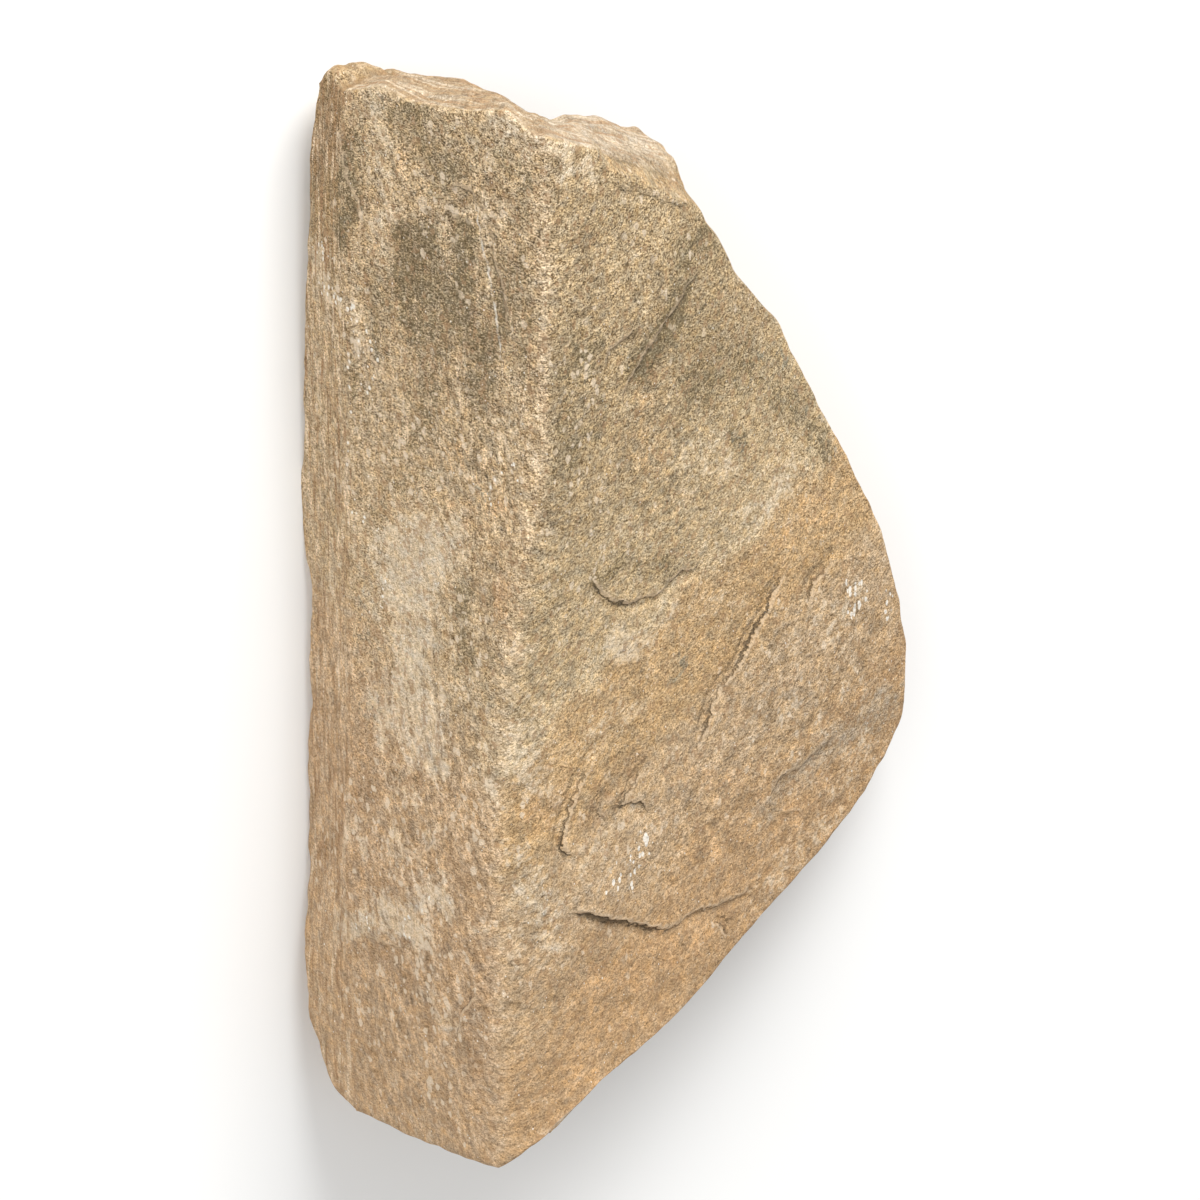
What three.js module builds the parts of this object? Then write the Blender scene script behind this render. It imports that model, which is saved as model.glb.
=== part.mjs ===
// Thin-veneer corner stone: a split block of layered sandstone, sawn hollow behind so that it wraps the
// outside corner of a wall. Millimetres, +Z up. It lies ridge up, resting on the far edges of its two legs,
// with its length along Y.
//
// The stone is drawn in its own section frame (a, b, y): a runs out along the long leg's sawn face, b out
// along the short leg's sawn face, and y along the stone. The two sawn faces meet at a = b = 0, and the
// natural faces lie on the negative sides.
import * as THREE from "three";
import { mergeVertices } from "three/addons/utils/BufferGeometryUtils.js";

// Driving dimensions
const longLeg = 134; // sawn corner to the belly of the long leg
const shortLeg = 56; // sawn corner to the far edge of the short leg
const rimThickness = 29; // both legs at their rims
const ridgeFoot = -157; // lower end of the ridge, along y
const ridgeHead = 129; // upper end of the ridge, along y
const ridgeShift = { from: -60, to: 60 }; // stretch of y over which the thicknesses change
const longThickness = { foot: 23.5, head: 33 }; // long leg, measured at the ridge
const shortThickness = { foot: 34.5, head: 24.5 }; // short leg, measured at the ridge
const ridgeRound = 5; // reach of the worn rounding along the ridge
const bevel = { start: 39, slope: 0.3, fadeFoot: -118, fadeHead: -72 }; // facet along the short leg's rim
const chamfer = { from: -4, to: 4, left: 118, fall: 0.35, slope: 0.9 }; // facet on its upper corner
const headRise = 3; // the head stands this much higher beside the ridge than on it
const undercut = 3; // the sawn faces stop this far inside the natural rim
const cornerStub = 3; // narrowest the long leg's sawn face gets, at the foot tip
const sawnFootRise = 10; // the sawn corner stops this far above the ridge's foot
const sawnHead = { corner: 134, longRim: 127, shortRim: 144, flare: 11 }; // sawn faces along the head
const headZone = 0.9; // the head's own shape starts at this row
const waves = [
  { height: 0.9, across: 23, along: 41, phase: 1.0 },
  { height: 0.7, across: -37, along: 27, phase: 2.4 },
]; // two crossed waves, a hand's width long, that a split face rolls in
const rimSwell = 2.5; // bulge of the broken rims at mid thickness
const endSwell = 1.5; // bulge of the broken head and foot

// Outline of the long leg's natural face, (a, y), from the foot tip round the belly to the upper corner
const longOutline = [
  [-19, -147],
  [5, -135],
  [37, -123],
  [76, -100],
  [114, -76],
  [134, -57],
  [138, -38],
  [130, -5],
  [102, 37],
  [66, 79],
  [54, 91],
  [41, 106],
  [37, 113],
];

// Outline of the short leg's natural face, (b, y), from its rounded foot corner to its head
const shortOutline = [
  [38, -152],
  [47, -146],
  [52, -137],
  [57, -125],
  [62, -60],
  [60, -18],
  [65, 30],
  [59, 80],
  [56, 120],
  [51, 140],
];

// Grid of the faceted surface
const longSteps = 30;
const shortSteps = 20;
const rowSteps = 46;
const depthSteps = 4;
const crowding = 1.3; // draws the columns of the grid towards the ridge

const lerp = THREE.MathUtils.lerp;
const clamp = THREE.MathUtils.clamp;
const smoothstep = THREE.MathUtils.smoothstep;
const lean = Math.atan2(shortLeg, longLeg); // turns the section so that both far edges touch the floor
const floorLevel = -shortLeg * Math.cos(lean);

const curveThrough = (points) =>
  new THREE.CatmullRomCurve3(points.map(([p, y]) => new THREE.Vector3(p, y, 0)), false, "centripetal");
const longRim = curveThrough(longOutline);
const shortRim = curveThrough(shortOutline);
const sawnLong = {
  rim: longRim,
  reach: longLeg,
  headFlare: sawnHead.flare,
  headLift: sawnHead.longRim - longOutline.at(-1)[1],
};
const sawnShort = {
  rim: shortRim,
  reach: shortLeg,
  headFlare: 0,
  headLift: sawnHead.shortRim - shortOutline.at(-1)[1],
};

// Ridge point of a row, row = 0 at the foot and 1 at the head
function ridgeAt(row) {
  const y = lerp(ridgeFoot, ridgeHead, row);
  const shift = smoothstep(y, ridgeShift.from, ridgeShift.to);
  return {
    a: -lerp(shortThickness.foot, shortThickness.head, shift),
    b: -lerp(longThickness.foot, longThickness.head, shift),
    y,
  };
}

// Slow swell of a split face
function swell(p, y) {
  return waves.reduce(
    (sum, wave) => sum + wave.height * Math.sin(p / wave.across + y / wave.along + wave.phase),
    0,
  );
}

// Facet split off the upper corner of the long leg
function chamferDepth(a, y) {
  const edge = chamfer.left - chamfer.fall * (a - chamfer.to);
  return Math.max(0, y - edge) * chamfer.slope * smoothstep(a, chamfer.from, chamfer.to);
}

// Facet along the rim of the short leg, which dies out towards the foot
function bevelDepth(b, y) {
  return Math.max(0, b - bevel.start) * bevel.slope * smoothstep(y, bevel.fadeFoot, bevel.fadeHead);
}

// Natural surface: side runs from -1 at the short rim, through 0 on the ridge, to 1 at the long rim
function naturalPoint(side, row) {
  const ridge = ridgeAt(row);
  const rim = (side < 0 ? shortRim : longRim).getPointAt(row);
  const reach = Math.abs(side) ** crowding;
  const away = reach * (side < 0 ? rim.x - ridge.b : rim.x - ridge.a); // distance from the ridge
  const round = (ridgeRound / 2) * Math.exp(-away / ridgeRound);
  const settle = smoothstep(away, 0, 3 * ridgeRound);
  const y = lerp(ridge.y, rim.y, reach);
  if (side < 0) {
    const b = lerp(ridge.b, rim.x, reach) + round;
    const a = lerp(ridge.a, -rimThickness, reach) + round + bevelDepth(b, y) + settle * swell(b, y);
    return { a, b, y: y + headRise * settle * smoothstep(row, headZone, 1) };
  }
  const a = lerp(ridge.a, rim.x, reach) + round;
  const b = lerp(ridge.b, -rimThickness, reach) + round + chamferDepth(a, y) + settle * swell(a, y);
  return { a, b, y };
}

// Sawn surface behind it: flat faces on a = 0 and b = 0
function sawnPoint(side, row) {
  const leg = side < 0 ? sawnShort : sawnLong;
  const rim = leg.rim.getPointAt(row);
  const head = smoothstep(row, headZone, 1);
  const far = clamp(rim.x - undercut + leg.headFlare * head, cornerStub, leg.reach);
  const cornerY = lerp(ridgeFoot + sawnFootRise, sawnHead.corner, row);
  const farY = rim.y + leg.headLift * head;
  const reach = Math.abs(side) ** crowding;
  const y = lerp(cornerY, farY, reach);
  return side < 0 ? { a: 0, b: far * reach, y } : { a: far * reach, b: 0, y };
}

// Any point of the skin, depth = 0 on the natural face and 1 on the sawn one
function skinPoint(side, row, depth) {
  const outer = naturalPoint(side, row);
  const inner = sawnPoint(side, row);
  const bulge = 4 * depth * (1 - depth);
  const longBulge = side === 1 ? rimSwell * bulge : 0;
  const shortBulge = side === -1 ? rimSwell * bulge : 0;
  const endBulge = row === 1 ? endSwell * bulge : row === 0 ? -endSwell * bulge : 0;
  return {
    a: lerp(outer.a, inner.a, depth) + longBulge,
    b: lerp(outer.b, inner.b, depth) + shortBulge,
    y: lerp(outer.y, inner.y, depth) + endBulge,
  };
}

// Section frame to the lying stone, rubbed flat where a broken rim would reach below the floor
function toWorld({ a, b, y }) {
  return [
    a * Math.cos(lean) - b * Math.sin(lean),
    y,
    Math.max(-a * Math.sin(lean) - b * Math.cos(lean), floorLevel),
  ];
}

// Adds a grid of quads over point(u, v), as two triangles each
function addPatch(positions, us, vs, point, flip) {
  for (let i = 0; i + 1 < us.length; i += 1) {
    for (let j = 0; j + 1 < vs.length; j += 1) {
      const corners = [
        point(us[i], vs[j]),
        point(us[i + 1], vs[j]),
        point(us[i + 1], vs[j + 1]),
        point(us[i], vs[j + 1]),
      ].map(toWorld);
      const order = flip ? [0, 2, 1, 0, 3, 2] : [0, 1, 2, 0, 2, 3];
      order.forEach((k) => positions.push(...corners[k]));
    }
  }
}

// Adds one flat sawn face as strips from the corner line to the rim; the first and last strips also meet the
// fine points of the foot and the head
function addSawnFace(positions, sides, rows, flip) {
  const ends = [sides[0], sides.at(-1)];
  for (let j = 0; j + 1 < rows.length; j += 1) {
    const isFoot = j === 0;
    const isHead = j + 2 === rows.length;
    const lower = (isFoot ? sides : ends).map((side) => sawnPoint(side, rows[j]));
    const upper = (isHead ? sides : ends).map((side) => sawnPoint(side, rows[j + 1]));
    const ring = isFoot ? [upper[0], ...lower, upper[1]] : [...lower, ...upper.toReversed()];
    for (let k = 1; k + 1 < ring.length; k += 1) {
      const triangle = flip ? [ring[0], ring[k + 1], ring[k]] : [ring[0], ring[k], ring[k + 1]];
      triangle.forEach((corner) => positions.push(...toWorld(corner)));
    }
  }
}

// Even steps from one value to another
function spread(steps, from, to) {
  return Array.from({ length: steps + 1 }, (_, i) => from + ((to - from) * i) / steps);
}

function makeStoneGeometry() {
  const shortSides = spread(shortSteps, -1, 0);
  const longSides = spread(longSteps, 0, 1);
  const sides = [...shortSides, ...longSides.slice(1)];
  const rows = spread(rowSteps, 0, 1);
  const depths = spread(depthSteps, 0, 1);
  const positions = [];
  addPatch(positions, sides, rows, (side, row) => skinPoint(side, row, 0), false);
  addPatch(positions, depths, rows, (depth, row) => skinPoint(1, row, depth), false);
  addPatch(positions, depths, rows, (depth, row) => skinPoint(-1, row, depth), true);
  addPatch(positions, sides, depths, (side, depth) => skinPoint(side, 1, depth), false);
  addPatch(positions, sides, depths, (side, depth) => skinPoint(side, 0, depth), true);
  addSawnFace(positions, longSides, rows, true);
  addSawnFace(positions, shortSides.toReversed(), rows, false);
  const loose = new THREE.BufferGeometry();
  loose.setAttribute("position", new THREE.Float32BufferAttribute(positions, 3));
  const geometry = mergeVertices(loose, 1e-3);
  // Origin at the middle of the footprint, on the floor
  geometry.computeBoundingBox();
  const { min, max } = geometry.boundingBox;
  geometry.translate(-(min.x + max.x) / 2, -(min.y + max.y) / 2, -min.z);
  geometry.computeVertexNormals();
  return geometry;
}

const stone = new THREE.Mesh(
  makeStoneGeometry(),
  new THREE.MeshStandardMaterial({ color: 0xb59c7b, roughness: 0.92, metalness: 0 }),
);
stone.name = "stone";

const cornerStone = new THREE.Group();
cornerStone.add(stone);

export default cornerStone;
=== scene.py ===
import math
import bpy
import numpy as np
from mathutils import Matrix, Vector


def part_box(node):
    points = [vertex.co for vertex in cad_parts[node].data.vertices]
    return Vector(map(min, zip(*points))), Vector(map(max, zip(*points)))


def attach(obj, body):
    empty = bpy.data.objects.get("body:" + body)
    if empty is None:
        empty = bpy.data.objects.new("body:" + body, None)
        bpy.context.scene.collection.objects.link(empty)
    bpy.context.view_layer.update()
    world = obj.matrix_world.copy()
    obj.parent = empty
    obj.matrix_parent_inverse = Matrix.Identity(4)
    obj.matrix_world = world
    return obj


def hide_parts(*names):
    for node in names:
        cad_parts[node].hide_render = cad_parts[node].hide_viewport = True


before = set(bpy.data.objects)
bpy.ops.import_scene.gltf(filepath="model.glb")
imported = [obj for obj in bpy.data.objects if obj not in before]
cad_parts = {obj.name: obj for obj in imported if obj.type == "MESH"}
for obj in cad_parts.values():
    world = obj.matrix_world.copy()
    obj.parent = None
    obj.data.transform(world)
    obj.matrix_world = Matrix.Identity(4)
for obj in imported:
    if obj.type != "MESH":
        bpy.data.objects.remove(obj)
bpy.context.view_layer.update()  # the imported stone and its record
mm = 0.001

# Everything about the stone is worked out in its own section frame, in millimetres: a runs out along the
# sawn face of the long leg, b out along the sawn face of the short leg, and y along the stone. The two sawn
# faces meet at a = b = 0 and the split faces are on the negative sides. The beds of the sandstone are the
# planes b = constant, so they show as lines on the short face, the head and the rims.
stone = {
    "longLeg": 134,  # sawn corner to the belly of the long leg
    "shortLeg": 56,  # sawn corner to the far edge of the short leg
    "rimThickness": 29,
    "ridgeFoot": -157,
    "ridgeHead": 129,
    "ridgeShift": (-60, 60),  # the thicknesses change over this stretch
    "longThickness": (23.5, 33),  # at the foot and at the head
    "shortThickness": (34.5, 24.5),
    "ridgeRound": 5,
    "bevelStart": 39,
    "bevelSlope": 0.3,
    "bevelFade": (-118, -72),
    "chamferSpan": (-4, 4),
    "chamferLeft": 118,
    "chamferFall": 0.35,
    "chamferSlope": 0.9,
    "headRise": 3,
    "headZone": 0.9,
    "undercut": 3,
    "cornerStub": 3,
    "sawnFootRise": 10,
    "sawnCorner": 134,
    "sawnLongRim": 127,
    "sawnShortRim": 144,
    "sawnFlare": 11,
    "waves": [(0.9, 23, 41, 1.0), (0.7, -37, 27, 2.4)],  # height, length across, length along, phase
    "rimSwell": 2.5,
    "endSwell": 1.5,
    "longOutline": [
        (-19, -147), (5, -135), (37, -123), (76, -100), (114, -76), (134, -57), (138, -38), (130, -5),
        (102, 37), (66, 79), (54, 91), (42, 106), (41, 113),
    ],
    "shortOutline": [
        (38, -152), (47, -146), (52, -137), (57, -125), (62, -60), (60, -18), (65, 30), (59, 80), (56, 120),
        (51, 140),
    ],
    # How far chips and bulges move the rims out, as (y, outward), and the head's edges along y: the edge of
    # the split faces as (b, lift), and the sawn one as (a - b, lift)
    "longRimChips": [
        (-147, -1), (-132, -1.4), (-121, -0.6), (-116, 0.8), (-112, -0.8), (-106, 1.6), (-96, 2.8),
        (-84, 1.6), (-72, 0.8), (-66, -0.8), (-48, 0), (-42, -0.8), (-36, 0), (-30, 0.9), (-24, -0.4),
        (-8, -0.3), (2, 0.2), (20, 0.7), (40, 1.2), (56, 1.6), (65, 2.4), (71, 3.2), (77, 1.2), (84, -1.8),
        (90, -1), (96, 0), (101, -1.4), (106, 0), (113, 1),
    ],
    "shortRimChips": [
        (-149, -0.7), (-140, 0.5), (-134, 0), (-128, 1.2), (-118, -0.7), (-106, 0.4), (-96, 0), (-84, 0.6),
        (-77, 2.4), (-71, 1.4), (-64, 0.3), (-55, 1.4), (-48, 1.9), (-38, 0), (-30, 1.2), (-24, 1.1),
        (-12, -0.4), (-6, -1.3), (0, -1.2), (5, 0), (10, 1.2), (17, 1.1), (27, 0.4), (32, -0.4), (38, -2.4),
        (44, -1.6), (50, -0.4), (58, -0.8), (67, 0.4), (73, 1.2), (79, 0.3), (90, 0.4), (96, -0.4),
        (101, -0.8), (106, 0), (112, 0.4), (117, 1.5), (125, 1), (134, 1.6), (141, 1.4),
    ],
    "headFront": [
        (-26, -0.4), (-19, 1.6), (-8, 0), (11, -2), (19, -1.3), (27, 0.2), (35, -2.4), (42, -3.4), (46, 2.2),
        (48, 1.4), (50, -0.6), (52, -3.4), (56, -7),
    ],
    "headBack": [
        (-52, 0.6), (-47, -1.6), (-40, -1), (-35, -0.6), (-28, 0.6), (-21, 2.6), (-14, 1.6), (-6, 0.3),
        (0, -0.4), (5, -1.6), (9, -2.9), (14, -2.4), (19, -0.4), (31, 0.8), (36, 0), (42, -1.4), (48, -0.6),
    ],
    "headReach": 0.93,  # row from which the head's edges move
    "nicks": [(0.7, 7), (0.5, 3)],  # height and length of the finer nicks along the rims
    "nickReach": 7,  # power of the reach, so that chips and nicks die out away from the rim
    "longColumns": 146,
    "shortColumns": 88,
    "rows": 290,
    "depths": 20,
    "crowding": 1.1,  # draws the columns towards the ridge
    "sharpAngle": 50,
}
lean = math.atan2(stone["shortLeg"], stone["longLeg"])
floorLevel = -stone["shortLeg"] * math.cos(lean)


# Weight that runs smoothly from 0 at start to 1 at stop: 3t squared less 2t cubed
def smooth(value, start, stop):
    t = np.clip((value - start) / (stop - start), 0, 1)
    return t * t * (3 - 2 * t)


def lerp(first, second, t):
    return first + (second - first) * t


# Curve through the points: centripetal Catmull-Rom, each span a Hermite cubic whose end slopes are weighted
# by the square root of the chords, read at even shares of its length
def curveAt(points, share):
    p = np.array(points, float)
    p = np.vstack([2 * p[0] - p[1], p, 2 * p[-1] - p[-2]])
    knot = np.sqrt(np.linalg.norm(np.diff(p, axis=0), axis=1))[:, None]
    p0, p1, p2, p3 = p[:-3], p[1:-2], p[2:-1], p[3:]
    k0, k1, k2 = knot[:-2], knot[1:-1], knot[2:]
    slope1 = ((p1 - p0) / k0 - (p2 - p0) / (k0 + k1) + (p2 - p1) / k1) * k1
    slope2 = ((p2 - p1) / k1 - (p3 - p1) / (k1 + k2) + (p3 - p2) / k2) * k1
    t = np.linspace(0, 1, 60, endpoint=False)[:, None, None]
    fine = (
        (2 * t**3 - 3 * t**2 + 1) * p1 + (t**3 - 2 * t**2 + t) * slope1
        + (3 * t**2 - 2 * t**3) * p2 + (t**3 - t**2) * slope2
    )
    fine = np.vstack([fine.transpose(1, 0, 2).reshape(-1, 2), p[-2]])
    run = np.concatenate([[0], np.cumsum(np.linalg.norm(np.diff(fine, axis=0), axis=1))])
    return [np.interp(share * run[-1], run, fine[:, axis]) for axis in (0, 1)]


# Smooth gradient noise in about -1 to 1: random slopes on a cubic lattice, blended by a quintic
def gradientNoise(x, y, z, seed):
    rng = np.random.default_rng(seed)
    order = rng.permutation(512)
    slopes = rng.normal(size=(512, 3))
    slopes /= np.linalg.norm(slopes, axis=1)[:, None]
    cell = [np.floor(v).astype(int) for v in (x, y, z)]
    part = [v - c for v, c in zip((x, y, z), cell)]
    blend = [f**3 * (f * (f * 6 - 15) + 10) for f in part]
    total = 0
    for i in (0, 1):
        for j in (0, 1):
            for k in (0, 1):
                pick = order[(cell[2] + k) & 511]
                pick = order[(pick + cell[1] + j) & 511]
                slope = slopes[order[(pick + cell[0] + i) & 511]]
                dot = sum(slope[..., n] * (part[n] - corner) for n, corner in enumerate((i, j, k)))
                weight = 1
                for f, corner in zip(blend, (i, j, k)):
                    weight = weight * (f if corner else 1 - f)
                total = total + weight * dot
    return total * 1.6


# Sum of noises, each twice as fine and half as high as the last
def fractalNoise(x, y, z, size, octaves, seed):
    total = 0
    for octave in range(octaves):
        scale = 2**octave / size
        total = total + gradientNoise(x * scale, y * scale, z * scale, seed + octave) / 2**octave
    return total


# Ridge of a row: both thicknesses change smoothly along the stone
def ridgeAt(row):
    y = lerp(stone["ridgeFoot"], stone["ridgeHead"], row)
    shift = smooth(y, *stone["ridgeShift"])
    return -lerp(*stone["shortThickness"], shift), -lerp(*stone["longThickness"], shift), y


# Two crossed sine waves that the split faces roll in
def swell(p, y):
    return sum(h * np.sin(p / across + y / along + phase) for h, across, along, phase in stone["waves"])


# Ragged outline: how far the rim stands out along a row, as noise over the row's place along the rim
def rimNicks(row, seed):
    along = row * 300
    zero = np.zeros_like(along)
    return sum(
        height * gradientNoise(along / size, zero, zero, seed + i)
        for i, (height, size) in enumerate(stone["nicks"])
    )


# Profile of (place, height) points, read at a place
def profileAt(profile, place):
    places, heights = np.transpose(profile)
    return np.interp(place, places, heights)


# Split surface over side, -1 at the short rim to 1 at the long rim, and row, 0 at the foot to 1 at the head:
# straight from ridge to rim, plus the rounding by the ridge, the swell, and the bevel or the chamfer
def naturalSurface(side, row):
    ridgeA, ridgeB, ridgeY = ridgeAt(row)
    isShort = side < 0
    longA, longY = curveAt(stone["longOutline"], row)
    shortB, shortY = curveAt(stone["shortOutline"], row)
    reach = np.abs(side) ** stone["crowding"]
    away = reach * np.where(isShort, shortB - ridgeB, longA - ridgeA)
    rounding = stone["ridgeRound"] / 2 * np.exp(-away / stone["ridgeRound"])
    settle = smooth(away, 0, 3 * stone["ridgeRound"])
    y = lerp(ridgeY, np.where(isShort, shortY, longY), reach)
    nick = reach ** stone["nickReach"]
    longOut = nick * (rimNicks(row, 80) + profileAt(stone["longRimChips"], longY))
    shortOut = nick * (rimNicks(row, 90) + profileAt(stone["shortRimChips"], shortY))
    a = lerp(ridgeA, np.where(isShort, -stone["rimThickness"], longA + longOut), reach) + rounding
    b = lerp(ridgeB, np.where(isShort, shortB + shortOut, -stone["rimThickness"]), reach) + rounding
    bevel = np.maximum(0, b - stone["bevelStart"]) * stone["bevelSlope"] * smooth(y, *stone["bevelFade"])
    edge = stone["chamferLeft"] - stone["chamferFall"] * (a - stone["chamferSpan"][1])
    chamfer = np.maximum(0, y - edge) * stone["chamferSlope"] * smooth(a, *stone["chamferSpan"])
    headRise = stone["headRise"] * settle * smooth(row, stone["headZone"], 1)
    headRise = headRise + profileAt(stone["headFront"], b) * smooth(row, stone["headReach"], 1)
    return np.stack([
        np.where(isShort, a + bevel + settle * swell(b, y), a),
        np.where(isShort, b, b + chamfer + settle * swell(a, y)),
        np.where(isShort, y + headRise, y),
    ], -1)


# Sawn surface behind it: the planes a = 0 and b = 0, straight from the corner to just inside the rim
def sawnSurface(side, row):
    isShort = side < 0
    longA, longY = curveAt(stone["longOutline"], row)
    shortB, shortY = curveAt(stone["shortOutline"], row)
    head = smooth(row, stone["headZone"], 1)
    rim = np.where(isShort, shortB, longA + stone["sawnFlare"] * head) - stone["undercut"]
    longest = np.where(isShort, stone["shortLeg"], stone["longLeg"])
    far = np.clip(rim, stone["cornerStub"], longest)
    longLift = stone["sawnLongRim"] - stone["longOutline"][-1][1]
    shortLift = stone["sawnShortRim"] - stone["shortOutline"][-1][1]
    farY = np.where(isShort, shortY + shortLift * head, longY + longLift * head)
    cornerY = lerp(stone["ridgeFoot"] + stone["sawnFootRise"], stone["sawnCorner"], row)
    reach = np.abs(side) ** stone["crowding"]
    across = far * reach
    zero = np.zeros_like(across)
    lift = profileAt(stone["headBack"], np.where(isShort, -across, across))
    lift = lift * smooth(row, stone["headReach"], 1)
    return np.stack([
        np.where(isShort, zero, across), np.where(isShort, across, zero), lerp(cornerY, farY, reach) + lift,
    ], -1)


# Point between the split surface, depth 0, and the sawn one, depth 1; the rims and ends bulge between them
# by 4 d (1 - d)
def skin(side, row, depth):
    side, row, depth = np.broadcast_arrays(side, row, depth)
    point = lerp(naturalSurface(side, row), sawnSurface(side, row), depth[..., None])
    bulge = 4 * depth * (1 - depth)
    point[..., 0] += stone["rimSwell"] * bulge * (side == 1)
    point[..., 1] += stone["rimSwell"] * bulge * (side == -1)
    point[..., 2] += stone["endSwell"] * bulge * ((row == 1).astype(float) - (row == 0))
    return point


# Corner numbers of the quads of a grid of rows by columns of vertex numbers
def gridQuads(ids, flip):
    quads = np.stack([ids[:-1, :-1], ids[1:, :-1], ids[1:, 1:], ids[:-1, 1:]], -1).reshape(-1, 4)
    return quads[:, ::-1] if flip else quads


# Fan of triangles from one corner over a run of vertex numbers
def fan(corner, run, flip):
    triangles = np.stack([np.full(len(run) - 1, corner), run[:-1], run[1:]], -1)
    return triangles[:, ::-1] if flip else triangles


# Flat sawn face between the rim, the first line of ids, and the sawn corner, the last: a full grid where the
# edge of the head is uneven, one strip a row over the rest, and fans where strips meet the grid or the foot
def sawnFace(ids, flip):
    rim, corner = ids[0], ids[-1]
    start = math.floor(stone["headReach"] * stone["rows"])
    strips = gridQuads(np.stack([rim[1:start], corner[1:start]]), flip)
    foot = fan(rim[1], np.append(ids[:, 0], corner[1]), flip)
    joint = fan(rim[start - 1], np.append(ids[:, start], corner[start - 1]), not flip)
    return [strips, foot, joint, gridQuads(ids[:, start:], flip)]


brokenSheets = 5  # split faces, both rims, head and foot; the rest is sawn


# The closed stone before any relief: grids on the broken sheets, strips on the sawn faces. Vertices on shared
# borders are merged by rounding them to a thousandth.
def buildLattice():
    short = np.linspace(-1, 0, stone["shortColumns"] + 1)
    long = np.linspace(0, 1, stone["longColumns"] + 1)
    sides = np.concatenate([short, long[1:]])
    rows = np.linspace(0, 1, stone["rows"] + 1)
    depths = np.linspace(0, 1, stone["depths"] + 1)
    sheets = [
        (skin(sides[:, None], rows[None], 0.0), False),
        (skin(1.0, rows[None], depths[:, None]), False),
        (skin(-1.0, rows[None], depths[:, None]), True),
        (skin(sides[:, None], 1.0, depths[None]), False),
        (skin(sides[:, None], 0.0, depths[None]), True),
        (skin(sides[:, None], rows[None], 1.0), True),
    ]
    counts = [points.shape[0] * points.shape[1] for points, _ in sheets]
    starts = np.concatenate([[0], np.cumsum(counts)])
    loose = np.concatenate([points.reshape(-1, 3) for points, _ in sheets])
    _, first, welded = np.unique(np.round(loose, 3), axis=0, return_index=True, return_inverse=True)
    welded = welded.reshape(-1)
    grids = [
        welded[start:start + count].reshape(points.shape[:2])
        for (points, _), start, count in zip(sheets, starts, counts)
    ]
    faces = [gridQuads(grid, flip) for grid, (_, flip) in zip(grids[:brokenSheets], sheets)]
    corner = stone["shortColumns"]
    faces += sawnFace(grids[-1][:corner + 1], True) + sawnFace(grids[-1][corner:][::-1], False)
    used, compact = np.unique(np.concatenate([f.reshape(-1) for f in faces]), return_inverse=True)
    ends = np.cumsum([f.size for f in faces])[:-1]
    faces = [run.reshape(f.shape) for run, f in zip(np.split(compact.reshape(-1), ends), faces)]
    return loose[first][used], faces


# Vertex normals: the face normals, by the cross product of the diagonals, summed at each corner
def cornerNormals(points, faces):
    total = np.zeros_like(points)
    for f in faces:
        normal = np.cross(points[f[:, 2]] - points[f[:, 0]], points[f[:, -1]] - points[f[:, 1]])
        for corner in range(f.shape[1]):
            for axis in range(3):
                total[:, axis] += np.bincount(f[:, corner], normal[:, axis], len(points))
    return total / np.linalg.norm(total, axis=1)[:, None]


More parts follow.
